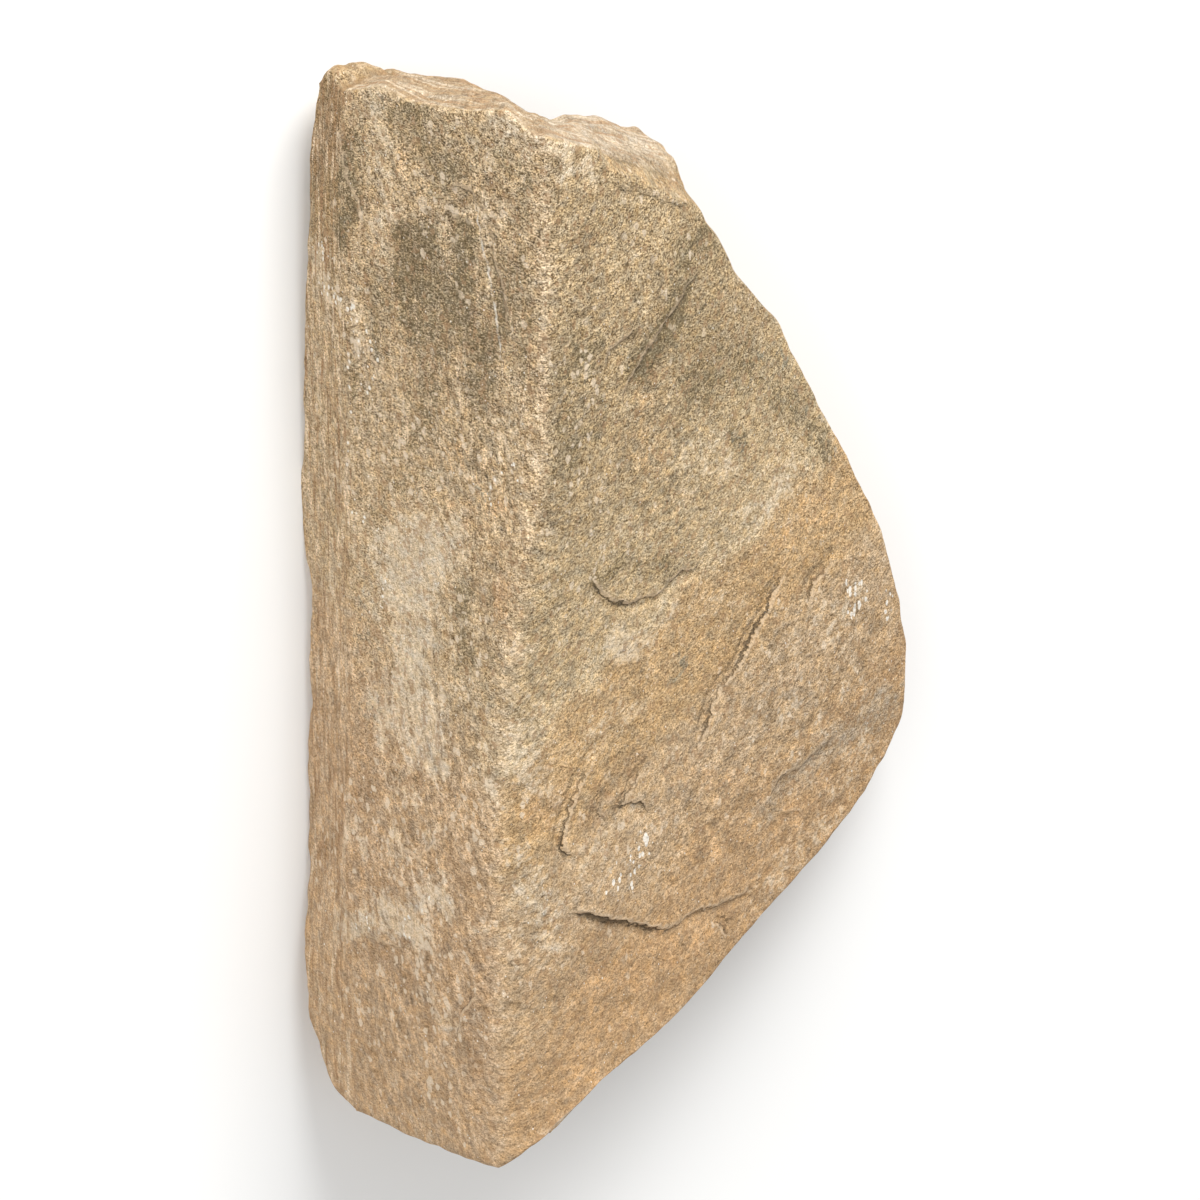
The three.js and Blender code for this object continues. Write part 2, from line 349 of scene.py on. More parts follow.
# Edges of the layers that the split faces broke along. A path is (across, y, drop), where across is a on the
# long face and b on the short one, and the surface on its left lies lower by the drop. Lift and dip say how
# far the rise of the right side and the fall of the left side reach.
longLedges = [
    {"lift": 26, "dip": 9, "path": [
        (43, -52, 0), (45, -49, 0.8), (50, -41, 1.5), (51, -37, 1.1), (54, -33, 1.0), (63, -25, 1.4),
        (65, -21, 1.6), (69, -16, 1.5), (72, -13, 1.4), (74, -8, 1.3), (77, -4, 1.2), (80, 0, 0),
    ]},
    {"lift": 18, "dip": 5, "path": [
        (87, -16, 0), (90, -11, 1.2), (92, -6, 1.2), (97, -4, 1.1), (100, -1, 0.8), (104, 1, 0),
    ]},
    {"lift": 16, "dip": 6, "path": [
        (56, 14, 0), (49, 11, 0.4), (45, 8, 0.4), (42, 3, 0.8), (35, 3, 1.1), (31, 0, 1.2), (27, -2, 1.3),
        (22, -2, 1.1), (17, -3, 1.4), (12, -3, 1.4), (6, 0, 1.1), (0, 4, 1.5), (-2, 6, 0),
    ]},
    {"lift": 9, "dip": 6, "path": [
        (-5, -71, 0), (-9, -71, 1.5), (-11, -68, 1.8), (-10, -64, 1.3), (-8, -60, 1.1), (-6, -56, 1.1),
        (-3, -51, 1.1), (0, -47, 0.9), (5, -43, 0.6), (9, -41, 0),
    ]},
    {"lift": 9, "dip": 5, "path": [
        (27, -65, 0), (22, -61, 1.5), (18, -60, 1.3), (13, -60, 1.2), (17, -57, 1.0), (20, -54, 1.0),
        (24, -52, 0.8), (30, -49, 0),
    ]},
    {"lift": 5, "dip": 4, "path": [
        (10, -65, 0), (6, -63, 0.8), (4, -61, 0.9), (6, -58, 0.8), (10, -56, 0.5), (13, -55, 0),
    ]},
    {"lift": 30, "dip": 11, "path": [
        (71, -91, 0), (66, -94, 0.7), (55, -96, 0.9), (47, -96, 1.0), (38, -98, 0.8), (30, -99, 1.0),
        (24, -97, 1.9), (15, -94, 1.6), (6, -91, 2.3), (-3, -88, 2.2), (-9, -88, 0),
    ]},
    {"lift": 12, "dip": 8, "path": [
        (104, -54, 0), (97, -56, 0.7), (88, -61, 0.9), (79, -63, 0.8), (76, -68, 0.6), (76, -74, 0),
    ]},
    {"lift": 6, "dip": 5, "path": [(106, -71, 0), (101, -74, 0.5), (104, -77, 0.4), (114, -76, 0)]},
    {"lift": 6, "dip": 4, "path": [(91, -77, 0), (88, -74, 0.8), (82, -74, 0.7), (79, -71, 0)]},
    {"lift": 4, "dip": 4, "path": [(50, -100, 0), (53, -101, 1.0), (57, -104, 1.2), (60, -105, 0)]},
    {"lift": 8, "dip": 7, "path": [(15, 74, 0), (10, 73, 0.9), (5, 72, 1.0), (1, 69, 0.8), (0, 63, 0)]},
    {"lift": 14, "dip": 14, "path": [
        (44, 92, 0), (35, 85, 0.7), (25, 75, 1.2), (16, 68, 1.2), (10, 60, 1.2), (8, 56, 0.6), (8, 50, 0),
    ]},
    {"lift": 6, "dip": 8, "path": [
        (44, 104, 0), (34, 107, 0.5), (24, 108, 0.6), (18, 111, 0.6), (8, 112, 0.5), (0, 116, 0),
    ]},
]
shortLedges = [
    {"lift": 9, "dip": 16, "path": [
        (17, 70, 0), (19, 82, 0.4), (22, 92, 0.6), (21, 100, 0.4), (15, 105, 0.2), (8, 107, 0.5),
        (0, 106, 0.2), (-6, 103, 0.4), (-12, 104, 0.7), (-14, 97, 0.9), (-17, 86, 0.9), (-19, 72, 0),
    ]},
    {"lift": 6, "dip": 5, "path": [
        (5, 111, 0), (-2, 114, 1.0), (-7, 113, 1.1), (-10, 109, 0.8), (-12, 105, 0),
    ]},
    {"lift": 5, "dip": 5, "path": [
        (33, 84, 0), (31, 95, 0.8), (32, 107, 0.9), (36, 113, 0.9), (39, 124, 0.8), (39, 136, 0),
    ]},
    {"lift": 6, "dip": 8, "path": [
        (24, 50, 0), (22, 57, 0.6), (24, 62, 0.9), (30, 67, 0.9), (33, 74, 0.7), (40, 80, 0.7), (43, 90, 0),
    ]},
    {"lift": 7, "dip": 7, "path": [(33, 18, 0), (36, 26, 0.6), (38, 33, 0.8), (39, 41, 0.6), (38, 48, 0)]},
    {"lift": 7, "dip": 7, "path": [
        (20, -50, 0), (22, -43, 0.6), (26, -33, 0.8), (30, -23, 0.7), (32, -12, 0),
    ]},
    {"lift": 3, "dip": 4, "path": [(5, -22, 0), (6, -17, 0.9), (6, -11, 0.9), (5, -7, 0)]},
    {"lift": 3, "dip": 3, "path": [(48, -39, 0), (48, -36, 0.9), (49, -31, 0.9), (50, -29, 0)]},
    {"lift": 4, "dip": 5, "path": [
        (4, -60, 0), (3, -66, 0.8), (8, -72, 0.8), (14, -70, 0.9), (17, -66, 0.6), (17, -62, 0),
    ]},
    {"lift": 5, "dip": 7, "path": [
        (-18, -106, 0), (-14, -108, 1.0), (-10, -113, 1.3), (-8, -119, 1.0), (-8, -124, 0),
    ]},
    {"lift": 5, "dip": 5, "path": [(11, -118, 0), (8, -124, 0.7), (6, -131, 0.6), (2, -137, 0)]},
    {"lift": 4, "dip": 4, "path": [(-27, -48, 0), (-25, -53, 0.9), (-27, -59, 0.9), (-30, -62, 0)]},
    {"lift": 10, "dip": 5, "path": [
        (46, -84, 0), (41, -92, 0.6), (30, -99, 0.8), (16, -100, 0.7), (4, -92, 0),
    ]},
]


# Signed distance of (p, y) from a path, positive on its left, and the third value of the path's points read
# at the nearest place: over all segments at once, the one whose foot is nearest wins
def fromPath(p, y, path):
    path = np.array(path, float)
    start, step = path[:-1], np.diff(path, axis=0)
    offP, offY = p[:, None] - start[:, 0], y[:, None] - start[:, 1]
    along = (offP * step[:, 0] + offY * step[:, 1]) / np.maximum(step[:, 0] ** 2 + step[:, 1] ** 2, 1e-9)
    along = np.clip(along, 0, 1)
    distance = np.hypot(offP - along * step[:, 0], offY - along * step[:, 1])
    best = np.argmin(distance, axis=1)
    row = np.arange(len(p))
    cross = step[best, 0] * offY[row, best] - step[best, 1] * offP[row, best]
    weight = start[best, 2] + along[row, best] * step[best, 2]
    return distance[row, best] * np.where(cross < 0, -1, 1), weight


# Relief of the split stone, heights and sizes in millimetres
relief = {
    "beds": [(0.26, 7.0), (0.20, 3.2), (0.16, 1.8)],  # height and spacing of the layers that stand out
    "bedLength": 9,  # a layer keeps its height this many times as far along the stone as across it
    "longLumps": [(0.55, 34), (0.30, 13), (0.22, 6), (0.17, 3.2)],
    "shortLumps": [(0.45, 38), (0.26, 12), (0.24, 5.5), (0.20, 3)],
    "brokenLumps": [(0.9, 17), (0.55, 7), (0.30, 3.4)],  # rims, head and foot
    "headLayers": 1.1,  # how far single layers of the head and rims stick out
    "layerThickness": 3.4,
    "ledgeWander": [(0.8, 9), (0.5, 3.6), (0.32, 1.8)],  # ragged course of the ledges
    "ledgeEdge": 1.1,  # width of a ledge's wall
    "liftShare": 0.45,  # of a ledge's drop; the rest is the dip below it
    "seamFade": (3.6, 2.0),  # away from a ledge, its drop fades between these distances
    "crispFade": (3.5, 1.5),
    "crispDrop": (0.1, 0.6),
    "bedWarp": (1.5, 40),  # how far and at what size the layers roll
    "headTurn": 6,  # how smoothly the head's layers turn with the corner
    "headLayerSize": (40, 12),  # length of a layer along the head's edge and in depth
    "longRough": (0.6, 1.3),  # the lumps' share, from smooth places to rough ones
    "shortRough": (0.55, 1.3),
    "wearPasses": 5,
    "wearSharpness": 1.2,  # bend from which an edge is worn in full
}


# Layers standing out of a broken face: noise that is fine across the beds, along b, and long along them
def bedRelief(a, b, y, seed):
    far, size = relief["bedWarp"]
    warp = far * gradientNoise(a / size, b / size, y / size, seed + 50)
    length = relief["bedLength"]
    return sum(
        height * gradientNoise((b + warp) / spacing, a / (spacing * length), y / (spacing * length), seed + i)
        for i, (height, spacing) in enumerate(relief["beds"])
    )


# Sum of noises, each with its height and size
def lumps(a, b, y, layers, seed):
    return sum(
        height * gradientNoise(a / size, b / size, y / size, seed + i)
        for i, (height, size) in enumerate(layers)
    )


# Height of the ledges and, for the material, the signed distance from the nearest one and its drop, which
# fades out away from the ledge
def ledgeRelief(p, y, ledges, seed):
    flat = np.zeros_like(p)
    wanderP, wanderY = (lumps(p, flat, y, relief["ledgeWander"], seed + i) for i in (0, 20))
    share = relief["liftShare"]
    height = np.zeros_like(p)
    nearest = np.full_like(p, 99.0)
    nearestDrop = np.zeros_like(p)
    for ledge in ledges:
        distance, drop = fromPath(p + wanderP, y + wanderY, ledge["path"])
        low = smooth(distance, -relief["ledgeEdge"] / 2, relief["ledgeEdge"] / 2)
        away = np.abs(distance)
        height += drop * (1 - low) * share * np.exp(-away / ledge["lift"])
        height -= drop * low * (1 - share) * np.exp(-away / ledge["dip"])
        closer = away < np.abs(nearest)
        nearest = np.where(closer, distance, nearest)
        nearestDrop = np.where(closer, drop * smooth(away, *relief["seamFade"]), nearestDrop)
    return height, nearest, nearestDrop


# Places on the head: how far back from its front edge, as a smooth minimum that turns with the corner, and
# how far along it
def headPlace(a, b):
    turn = relief["headTurn"]
    return -turn * np.logaddexp(-a / turn, -b / turn), a - b


# Shares of the long face, short face, long rim, short rim, head and foot at a point: how far the normal
# points to each, to the fourth power, over their sum
def faceShares(normals):
    n = normals
    pull = np.stack([-n[:, 1], -n[:, 0], n[:, 0], n[:, 1], n[:, 2], -n[:, 2]])
    pull = np.maximum(pull, 0) ** 4
    return pull / pull.sum(axis=0)


# Points moved along their normals by each face's relief, in its share. Points on a sawn plane stay in it.
def addRelief(points, normals, rough):
    a, b, y = points.T
    onLong, onShort, longRim, shortRim, head, foot = faceShares(normals)
    longHeight, longSeam, longDrop = ledgeRelief(a, y, longLedges, 300)
    shortHeight, shortSeam, shortDrop = ledgeRelief(b, y, shortLedges, 340)
    seam = np.where(onShort > onLong, shortSeam, longSeam)
    drop = np.where(onShort > onLong, shortDrop * onShort, longDrop * onLong)
    broken = lumps(a, b, y, relief["brokenLumps"], 60)
    across, along = headPlace(a, b)
    length, depth = relief["headLayerSize"]
    layer = gradientNoise(across / relief["layerThickness"], along / length, y / depth, 71)
    layer = layer * relief["headLayers"]
    longLumps = lumps(a, b, y, relief["longLumps"], 40) * lerp(*relief["longRough"], rough)
    shortLumps = bedRelief(a, b, y, 20) + lumps(a, b, y, relief["shortLumps"], 50)
    shortLumps = shortLumps * lerp(*relief["shortRough"], rough)
    height = onLong * (longLumps + longHeight) + onShort * (shortLumps + shortHeight)
    height += (longRim + head) * (broken + layer) + (shortRim + foot) * broken
    move = keepSawn(points, normals * height[:, None])
    crisp = smooth(np.abs(seam), *relief["crispFade"]) * smooth(drop, *relief["crispDrop"])
    return points + move, crisp, {"seam": seam, "seamDrop": drop}


# Components that would leave a sawn plane set to zero
def keepSawn(points, move):
    a, b, _ = points.T
    move[(np.abs(b) < 1e-6) & (a > -1e-6), 1] = 0
    move[(np.abs(a) < 1e-6) & (b > -1e-6), 0] = 0
    return move


# Edges worn by moving each point a share of the way to the mean of its neighbours on the split faces, more
# where the normals differ and less where crisp is 1, several times over
def wearEdges(points, faces, normals, crisp):
    broken = faces[:brokenSheets]
    links = np.concatenate([np.stack([f, np.roll(f, -1, axis=1)], -1).reshape(-1, 2) for f in broken])
    total = len(points)
    count = np.bincount(links[:, 0], minlength=total) + np.bincount(links[:, 1], minlength=total)
    for _ in range(relief["wearPasses"]):
        bend = 1 - np.einsum("ij,ij->i", normals[links[:, 0]], normals[links[:, 1]])
        edge = np.bincount(links[:, 0], bend, total) + np.bincount(links[:, 1], bend, total)
        mean = np.stack([
            np.bincount(links[:, 0], points[links[:, 1], axis], total)
            + np.bincount(links[:, 1], points[links[:, 0], axis], total)
            for axis in range(3)
        ], -1) / np.maximum(count, 1)[:, None]
        share = ((0.5 - 0.45 * crisp) * smooth(edge, 0, relief["wearSharpness"]))[:, None]
        points = points + keepSawn(points, share * (mean - points))
        normals = cornerNormals(points, faces)
    return points


# Where the stone is stained or bleached, as (strength, stroke): each stroke is points (across, y, reach) on
# the long face, where across is a, or on the short face, where it is b
marks = {
    "stain": {  # grey-green, as if damp
        "long": [
            (1.0, [(14, 64, 4), (22, 71, 5), (31, 79, 5)]), (0.6, [(29, 86, 4), (36, 93, 6), (42, 99, 4)]),
            (0.6, [(-20, 36, 4), (-15, 42, 6), (-18, 54, 5), (-21, 66, 4)]),
            (0.5, [(-9, 46, 4), (-2, 47, 4), (-2, 57, 4)]), (0.7, [(-14, 66, 4), (-6, 69, 5)]),
            (0.6, [(38, 57, 6), (47, 59, 7), (54, 58, 5)]), (0.4, [(44, 72, 8), (58, 64, 8)]),
            (0.4, [(61, 66, 4), (70, 62, 4), (77, 58, 4)]), (0.7, [(57, 40, 3), (60, 36, 3)]),
            (0.4, [(50, 45, 4), (46, 49, 4)]), (0.6, [(77, 48, 6), (87, 45, 7), (94, 38, 4), (101, 30, 4)]),
            (0.4, [(-4, 106, 5), (8, 107, 4), (22, 107, 3)]), (0.5, [(-20, 76, 5), (-13, 74, 4)]),
            (0.4, [(-26, 97, 4), (-25, 84, 4)]), (0.3, [(4, 71, 3), (11, 71, 3)]),
            (0.4, [(-21, 26, 5), (-13, 29, 4)]), (0.3, [(-25, 6, 5), (-14, 3, 5), (-22, -2, 4)]),
            (0.6, [(1, 6, 4), (14, 8, 5), (28, 6, 4), (40, 5, 3)]), (0.2, [(30, 23, 4), (25, 16, 3)]),
            (0.3, [(-6, 20, 6), (6, 30, 5)]), (0.3, [(12, 46, 9), (32, 52, 8)]),
            (0.2, [(48, 84, 7), (60, 74, 8)]), (0.5, [(33, 97, 4), (50, 93, 5)]),
            (0.3, [(88, 54, 4), (95, 22, 4)]), (0.7, [(8, 122, 4), (20, 120, 4), (31, 117, 4)]),
            (0.4, [(66, 52, 5)]), (0.3, [(35, 67, 5)]), (0.3, [(11, 65, 4)]),
        ],
        "short": [
            (0.7, [(14, 127, 5), (6, 121, 5), (-4, 118, 4)]), (0.7, [(10, 134, 4), (23, 134, 3)]),
            (0.4, [(31, 133, 4)]), (0.6, [(-18, 122, 4), (-26, 118, 5), (-23, 107, 4)]),
            (0.4, [(-10, 128, 4), (0, 129, 4)]), (0.9, [(36, 122, 4), (37, 109, 4.5), (38, 96, 4)]),
            (1.0, [(11, 101, 4), (9, 91, 6)]), (0.9, [(18, 99, 4), (17, 88, 4)]),
            (0.7, [(6, 82, 5), (5, 72, 5)]), (0.8, [(16, 80, 4), (13, 72, 4)]),
            (1.0, [(-3, 101, 4), (-4, 90, 4), (-3, 79, 4)]), (0.7, [(-17, 82, 3), (-16, 74, 3)]),
            (0.6, [(-24, 97, 4), (-25, 86, 5), (-25, 74, 4), (-24, 66, 4)]), (0.6, [(4, 113, 4)]),
            (0.7, [(-16, 93, 4), (-16, 85, 4)]), (0.6, [(28, 88, 4), (27, 76, 4), (27, 66, 3)]),
            (0.6, [(11, 60, 6), (10, 50, 6)]), (0.8, [(-9, 72, 5), (-11, 57, 5)]),
            (0.6, [(37, 63, 4), (35, 52, 3)]), (0.7, [(-6, 8, 2.5), (-6, -4, 3), (-7, -16, 3)]),
            (0.3, [(0, -2, 2.5), (3, -13, 3.5), (3, -22, 2.5)]),
            (0.4, [(33, 9, 3), (34, -5, 5), (31, -18, 5), (28, -26, 3)]), (0.4, [(50, 23, 5), (51, 12, 4)]),
            (0.4, [(46, 49, 4)]), (0.6, [(15, -50, 2.5)]), (0.5, [(-17, -12, 4), (-18, -26, 5)]),
            (0.2, [(-22, -42, 3)]), (0.5, [(20, 31, 4), (29, 22, 4)]), (0.5, [(30, -34, 4)]),
            (0.3, [(20, 42, 8), (8, 38, 8)]),
        ],
    },
    "brown": {
        "long": [
            (0.8, [(24, -47, 3.5), (14, -50, 4), (6, -56, 4), (0, -62, 4)]),
            (0.7, [(-28, -108, 4), (-14, -106, 4), (2, -103, 3)]), (0.4, [(10, -112, 7), (30, -108, 6)]),
            (0.5, [(-29, -128, 4)]), (0.5, [(72, -8, 4), (82, -8, 4), (92, -3, 3)]),
            (0.5, [(56, -26, 4), (42, -36, 4)]), (0.2, [(80, 2, 4), (76, -6, 3)]),
            (0.5, [(88, -36, 5), (90, -48, 4)]), (0.4, [(44, -90, 5), (62, -87, 4), (74, -82, 4)]),
            (0.9, [(8, 123, 4), (14, 122, 5), (26, 119, 5), (36, 115, 5), (46, 110, 5)]),
            (0.4, [(22, -84, 7), (12, -104, 7)]), (0.4, [(10, -72, 6), (19, -78, 6)]),
            (0.9, [(1, -96, 4), (10, -93, 4)]),
        ],
        "short": [
            (1.0, [(42, 140, 6), (46, 124, 7)]), (1.0, [(52, 128, 5), (53, 116, 4)]), (0.4, [(57, 118, 4)]),
            (0.9, [(41, 124, 3)]), (0.4, [(44, 62, 5)]), (0.6, [(45, 35, 4)]),
            (0.5, [(43, -34, 4), (54, -38, 4)]), (0.5, [(50, -48, 3), (44, -54, 3), (33, -58, 4)]),
            (0.9, [(29, -58, 5)]), (0.9, [(43, -70, 3), (50, -78, 4), (58, -82, 3)]),
            (0.7, [(33, -40, 3), (32, -46, 3)]), (0.7, [(-6, -70, 3), (-12, -76, 3)]), (0.6, [(12, -63, 3)]),
            (0.8, [(14, -84, 3), (24, -83, 2.5)]), (0.8, [(10, -107, 4), (26, -102, 5)]),
            (0.4, [(5, -111, 5)]), (0.6, [(-15, -124, 4)]), (0.5, [(-26, -87, 4)]),
            (0.8, [(-18, -107, 3), (-11, -116, 4), (-14, -126, 4)]), (0.8, [(4, -120, 4)]),
            (0.3, [(20, -136, 4), (8, -130, 4)]), (0.7, [(-21, 9, 3), (-16, 16, 3), (-20, -5, 3)]),
            (0.5, [(30, -24, 2.5)]), (0.3, [(46, -98, 6)]),
        ],
    },
    "bloom": {  # bleached
        "long": [
            (0.7, [(-26, 127, 4), (-14, 121, 4), (-4, 117, 3)]),
            (0.6, [(65, 16, 3), (73, 20, 5), (80, 25, 4)]), (0.4, [(52, 9, 4), (59, 15, 4)]),
            (0.3, [(88, 30, 4)]), (0.4, [(34, 39, 5), (44, 36, 7), (58, 31, 6)]),
            (0.7, [(10, -14, 4), (20, -16, 5)]), (0.4, [(34, -8, 5)]), (0.5, [(-28, -28, 7), (-24, -44, 6)]),
            (0.4, [(52, -8, 5), (60, -12, 5)]), (0.3, [(20, 18, 5), (7, 19, 4)]),
            (0.3, [(-25, -70, 7), (-16, -95, 6)]), (0.3, [(-6, -82, 6), (4, -74, 5)]), (0.3, [(36, 26, 7)]),
            (0.3, [(84, -22, 7), (104, -20, 8), (112, -36, 6)]), (0.4, [(6, -66, 5)]),
            (0.4, [(4, -38, 5), (22, -34, 5)]),
            (0.4, [(118, -60, 6), (104, -74, 5), (88, -88, 5), (70, -97, 5)]),
            (0.6, [(-18, -50, 5), (-10, -55, 4)]), (0.5, [(-26, -12, 5)]), (0.3, [(-20, 30, 5)]),
        ],
        "short": [
            (0.7, [(28, 137, 3), (25, 128, 3)]), (0.5, [(25, 124, 3), (22, 108, 3), (25, 99, 3)]),
            (0.6, [(-14, 132, 4), (-26, 128, 4)]), (0.4, [(-9, 109, 3), (-16, 107, 3)]),
            (0.4, [(-14, 62, 3)]), (0.7, [(54, 94, 4), (52, 86, 4)]), (0.4, [(44, 82, 5), (36, 80, 4)]),
            (0.3, [(30, 70, 5), (26, 64, 4)]), (0.5, [(55, 62, 3), (55, 54, 3)]),
            (0.5, [(49, 1, 4), (50, -6, 4)]), (0.4, [(54, -57, 3)]),
            (0.7, [(0, 19, 5), (12, 19, 4), (22, 14, 5)]), (0.6, [(35, 19, 3)]),
            (0.9, [(8, 12, 7), (19, 9, 6), (24, 2, 5)]),
            (0.9, [(14, 0, 8), (13, -14, 8), (14, -28, 8), (8, -40, 7), (1, -46, 4)]),
            (0.8, [(30, -28, 3), (24, -38, 5)]), (0.5, [(20, -52, 3), (10, -56, 3)]),
            (0.4, [(-26, 46, 5), (-19, 50, 5)]), (0.7, [(3, -34, 4), (2, -43, 4)]),
            (0.7, [(-7, -85, 3), (2, -81, 4), (9, -85, 3)]),
            (0.75, [(7, -95, 5), (15, -92, 6), (23, -88, 4)]), (0.9, [(29, -96, 4), (38, -97, 4)]),
            (0.6, [(16, -72, 5), (18, -66, 4)]), (0.5, [(32, -67, 3), (31, -74, 3)]), (0.5, [(-18, -90, 4)]),
            (0.5, [(-6, -118, 2.5), (6, -111, 2.5)]), (0.4, [(24, -125, 4)]), (0.6, [(3, -65, 3)]),
            (0.8, [(-20, -48, 3), (-25, -60, 3)]), (0.5, [(-22, -36, 4)]),
        ],
    },
    "slate": {  # blue-grey
        "long": [
            (1.0, [(74, -71, 4), (84, -64, 5), (96, -59, 5), (112, -53, 6), (130, -47, 6)]),
            (0.7, [(80, -43, 4), (89, -42, 4)]), (0.6, [(104, -17, 4), (113, -12, 4)]),
            (0.5, [(68, -40, 4), (65, -48, 4)]), (0.5, [(74, -80, 4)]), (0.8, [(-27, -74, 7), (-20, -84, 8)]),
            (0.4, [(118, -34, 9), (100, -40, 8)]), (0.3, [(20, -62, 5), (28, -72, 5)]),
        ],
        "short": [
            (0.5, [(30, 4, 5), (31, -14, 5)]), (0.5, [(29, 132, 4), (27, 112, 4)]),
            (0.6, [(14, -6, 7), (13, -24, 7)]),
        ],
    },
    "warm": {  # orange
        "long": [
            (0.5, [(44, -56, 4), (56, -60, 5), (68, -57, 4), (72, -66, 4)]),
            (0.4, [(44, -76, 7), (56, -80, 7)]), (1.0, [(-21, -56, 5), (-10, -54, 5)]),
            (0.8, [(4, -108, 8), (24, -106, 7), (46, -104, 6)]),
            (0.5, [(20, 54, 5), (10, 42, 5), (22, 40, 6)]), (0.5, [(94, 16, 7), (80, 6, 5)]),
            (0.4, [(24, 28, 5), (38, 26, 6)]), (0.5, [(10, -118, 9), (-10, -134, 9)]),
            (0.4, [(90, -70, 8), (70, -96, 6)]),
            (0.5, [(4, 121, 4), (20, 117, 5), (34, 112, 5), (40, 110, 4)]),
        ],
        "short": [
            (0.8, [(-20, 27, 3), (-12, 29, 3)]), (0.6, [(0, 26, 3)]), (0.8, [(-18, 5, 3), (-21, -4, 3)]),
            (0.8, [(-27, -51, 4), (-24, -61, 4)]), (0.6, [(44, -65, 3)]), (0.6, [(46, 68, 3)]),
            (0.6, [(18, 117, 3), (16, 124, 3)]), (0.6, [(52, 124, 4)]),
            (0.8, [(-24, -102, 3), (-26, -124, 3), (-24, -142, 3)]), (0.5, [(-10, 38, 5), (2, 40, 5)]),
        ],
    },
    "chalk": {
        "long": [
            (1.0, [(109, -9, 2.4), (114, -11, 2)]), (1.0, [(116, -13, 1.8), (111, -17, 2.8)]),
            (1.0, [(128, -16, 1.8), (128, -22, 1.6)]), (0.9, [(128, -36, 1.8), (127, -39, 1.6)]),
            (1.0, [(24, -70, 1.5), (22, -75, 1.6)]), (1.0, [(20, -76, 1.8), (18, -84, 2)]),
            (0.9, [(10, -78, 1.5), (10, -84, 1.4)]), (0.9, [(6, -82, 1.5)]), (0.8, [(82, -22, 1.4)]),
        ],
        "short": [
            (0.7, [(52, 94, 2.5), (47, 84, 3), (38, 79, 3)]), (0.7, [(33, 73, 3), (28, 64, 3), (31, 56, 2)]),
            (0.5, [(38, 66, 2), (36, 50, 2)]), (0.6, [(40, 40, 1.6), (39, 30, 1.2)]),
            (0.6, [(36, 22, 2.5), (32, 19, 2.5)]), (0.5, [(25, 1, 3), (27, -3, 2)]),
            (0.5, [(38, -95, 2), (30, -96, 2)]), (0.5, [(2, -82, 2), (14, -93, 3)]),
            (0.4, [(-22, 40, 3), (-12, 30, 3)]),
        ],
    },
    "speck": {  # dark lichen spots
        "long": [
            (1.0, [(67, 62, 2), (69, 60, 1.6)]), (1.0, [(78, 61, 1.8), (79, 58, 1.8)]),
            (0.9, [(57, 40, 1.6), (60, 37, 1.6)]), (1.0, [(37, -21, 2.6), (39, -24, 2.4)]),
            (0.8, [(42, -22, 1.6), (34, -29, 1.8)]), (0.8, [(91, 46, 2), (93, 43, 2)]),
        ],
        "short": [
            (0.8, [(-8, 33, 1.4), (-9, 29, 1.4)]),
        ],
    },
    "freckle": {  # where pale chips lie close together
        "long": [
            (0.4, [(80, -40, 20), (100, -20, 16)]), (0.6, [(0, 0, 18), (-14, 60, 16)]),
            (0.5, [(-24, -40, 8), (-26, -100, 6)]), (0.4, [(20, 100, 20)]), (0.4, [(16, -72, 14)]),
        ],
        "short": [
            (1.0, [(52, 92, 6), (45, 82, 7), (37, 74, 8), (28, 64, 7)]), (0.8, [(30, 48, 9), (38, 30, 8)]),
            (0.8, [(10, 38, 16), (-10, 44, 14)]), (0.7, [(-10, -6, 9), (-8, -40, 10), (-16, -66, 12)]),
            (1.0, [(26, -70, 18), (8, -92, 18), (-6, -112, 16)]), (0.9, [(20, -122, 14), (2, -136, 12)]),
            (0.6, [(0, 112, 22)]), (0.5, [(50, -80, 10)]),
        ],
    },
    "rough": {  # coarser split surface
        "long": [
            (0.7, [(100, -22, 20), (85, -42, 22), (60, -64, 16), (30, -78, 12)]),
            (0.6, [(0, -58, 8), (16, -48, 8)]), (0.8, [(0, 100, 26), (10, 60, 26), (30, 30, 14)]),
            (0.8, [(-28, 110, 16), (-26, 60, 20), (-24, 0, 16)]), (0.5, [(-26, -10, 10), (-26, -110, 10)]),
        ],
        "short": [
            (1.0, [(-8, 122, 24), (-12, 60, 24), (-14, 0, 16), (2, -66, 30), (4, -112, 34)]),
            (0.7, [(30, 76, 14), (30, 50, 10)]),
        ],
    },
}
paleLine = [(-9, 105), (-10, 99), (-12, 92), (-14, 83), (-16, 72)]  # thin white line on the short face
markWander = (3.4, 8, 3)  # how far, at what size and in how many octaves the strokes are bent
markReach = {"stain": 1.35, "brown": 1.35, "bloom": 1.3, "slate": 1.3, "warm": 1.35}  # widens the strokes

# How the masks start and stop; a pair is the low and high end of a smooth step
maskEdges = {
    "longOverHead": (0.02, 0.3),  # share of the long face from which its marks run up onto the head
    "shortOverHead": (38, 42),  # b from which the short face's marks do
    "ridge": (3.5, 1.6),  # half width of the worn ridge, and how far it fades
    "short": (-14, 14),  # b less a, both from the ridge
    "strip": (35.5, 39.5),  # b where the strip along the short rim starts
    "stripWander": (2.2, 18),  # how far and at what size its edge is bent
    "stripLean": (2.5, (60, 125)),  # how far its edge moves in over this stretch of y
    "head": (0.55, 0.9),
    "calm": (0.1, 0.55),
    # Painted light on the rims, which face the bright surround: it fades in over this share of the rims
    "worn": (0.02, 0.5),
    "bedsRise": (0, 50),  # beds show more on the short face between these stretches of y
    "bedsFall": (118, 95),
    "bedsShort": (0.4, 0.45),  # everywhere, and what the stretch adds
    "bedsStrip": 1.3,
    "bedsRim": 0.8,
    "paleLineReach": 6,
}


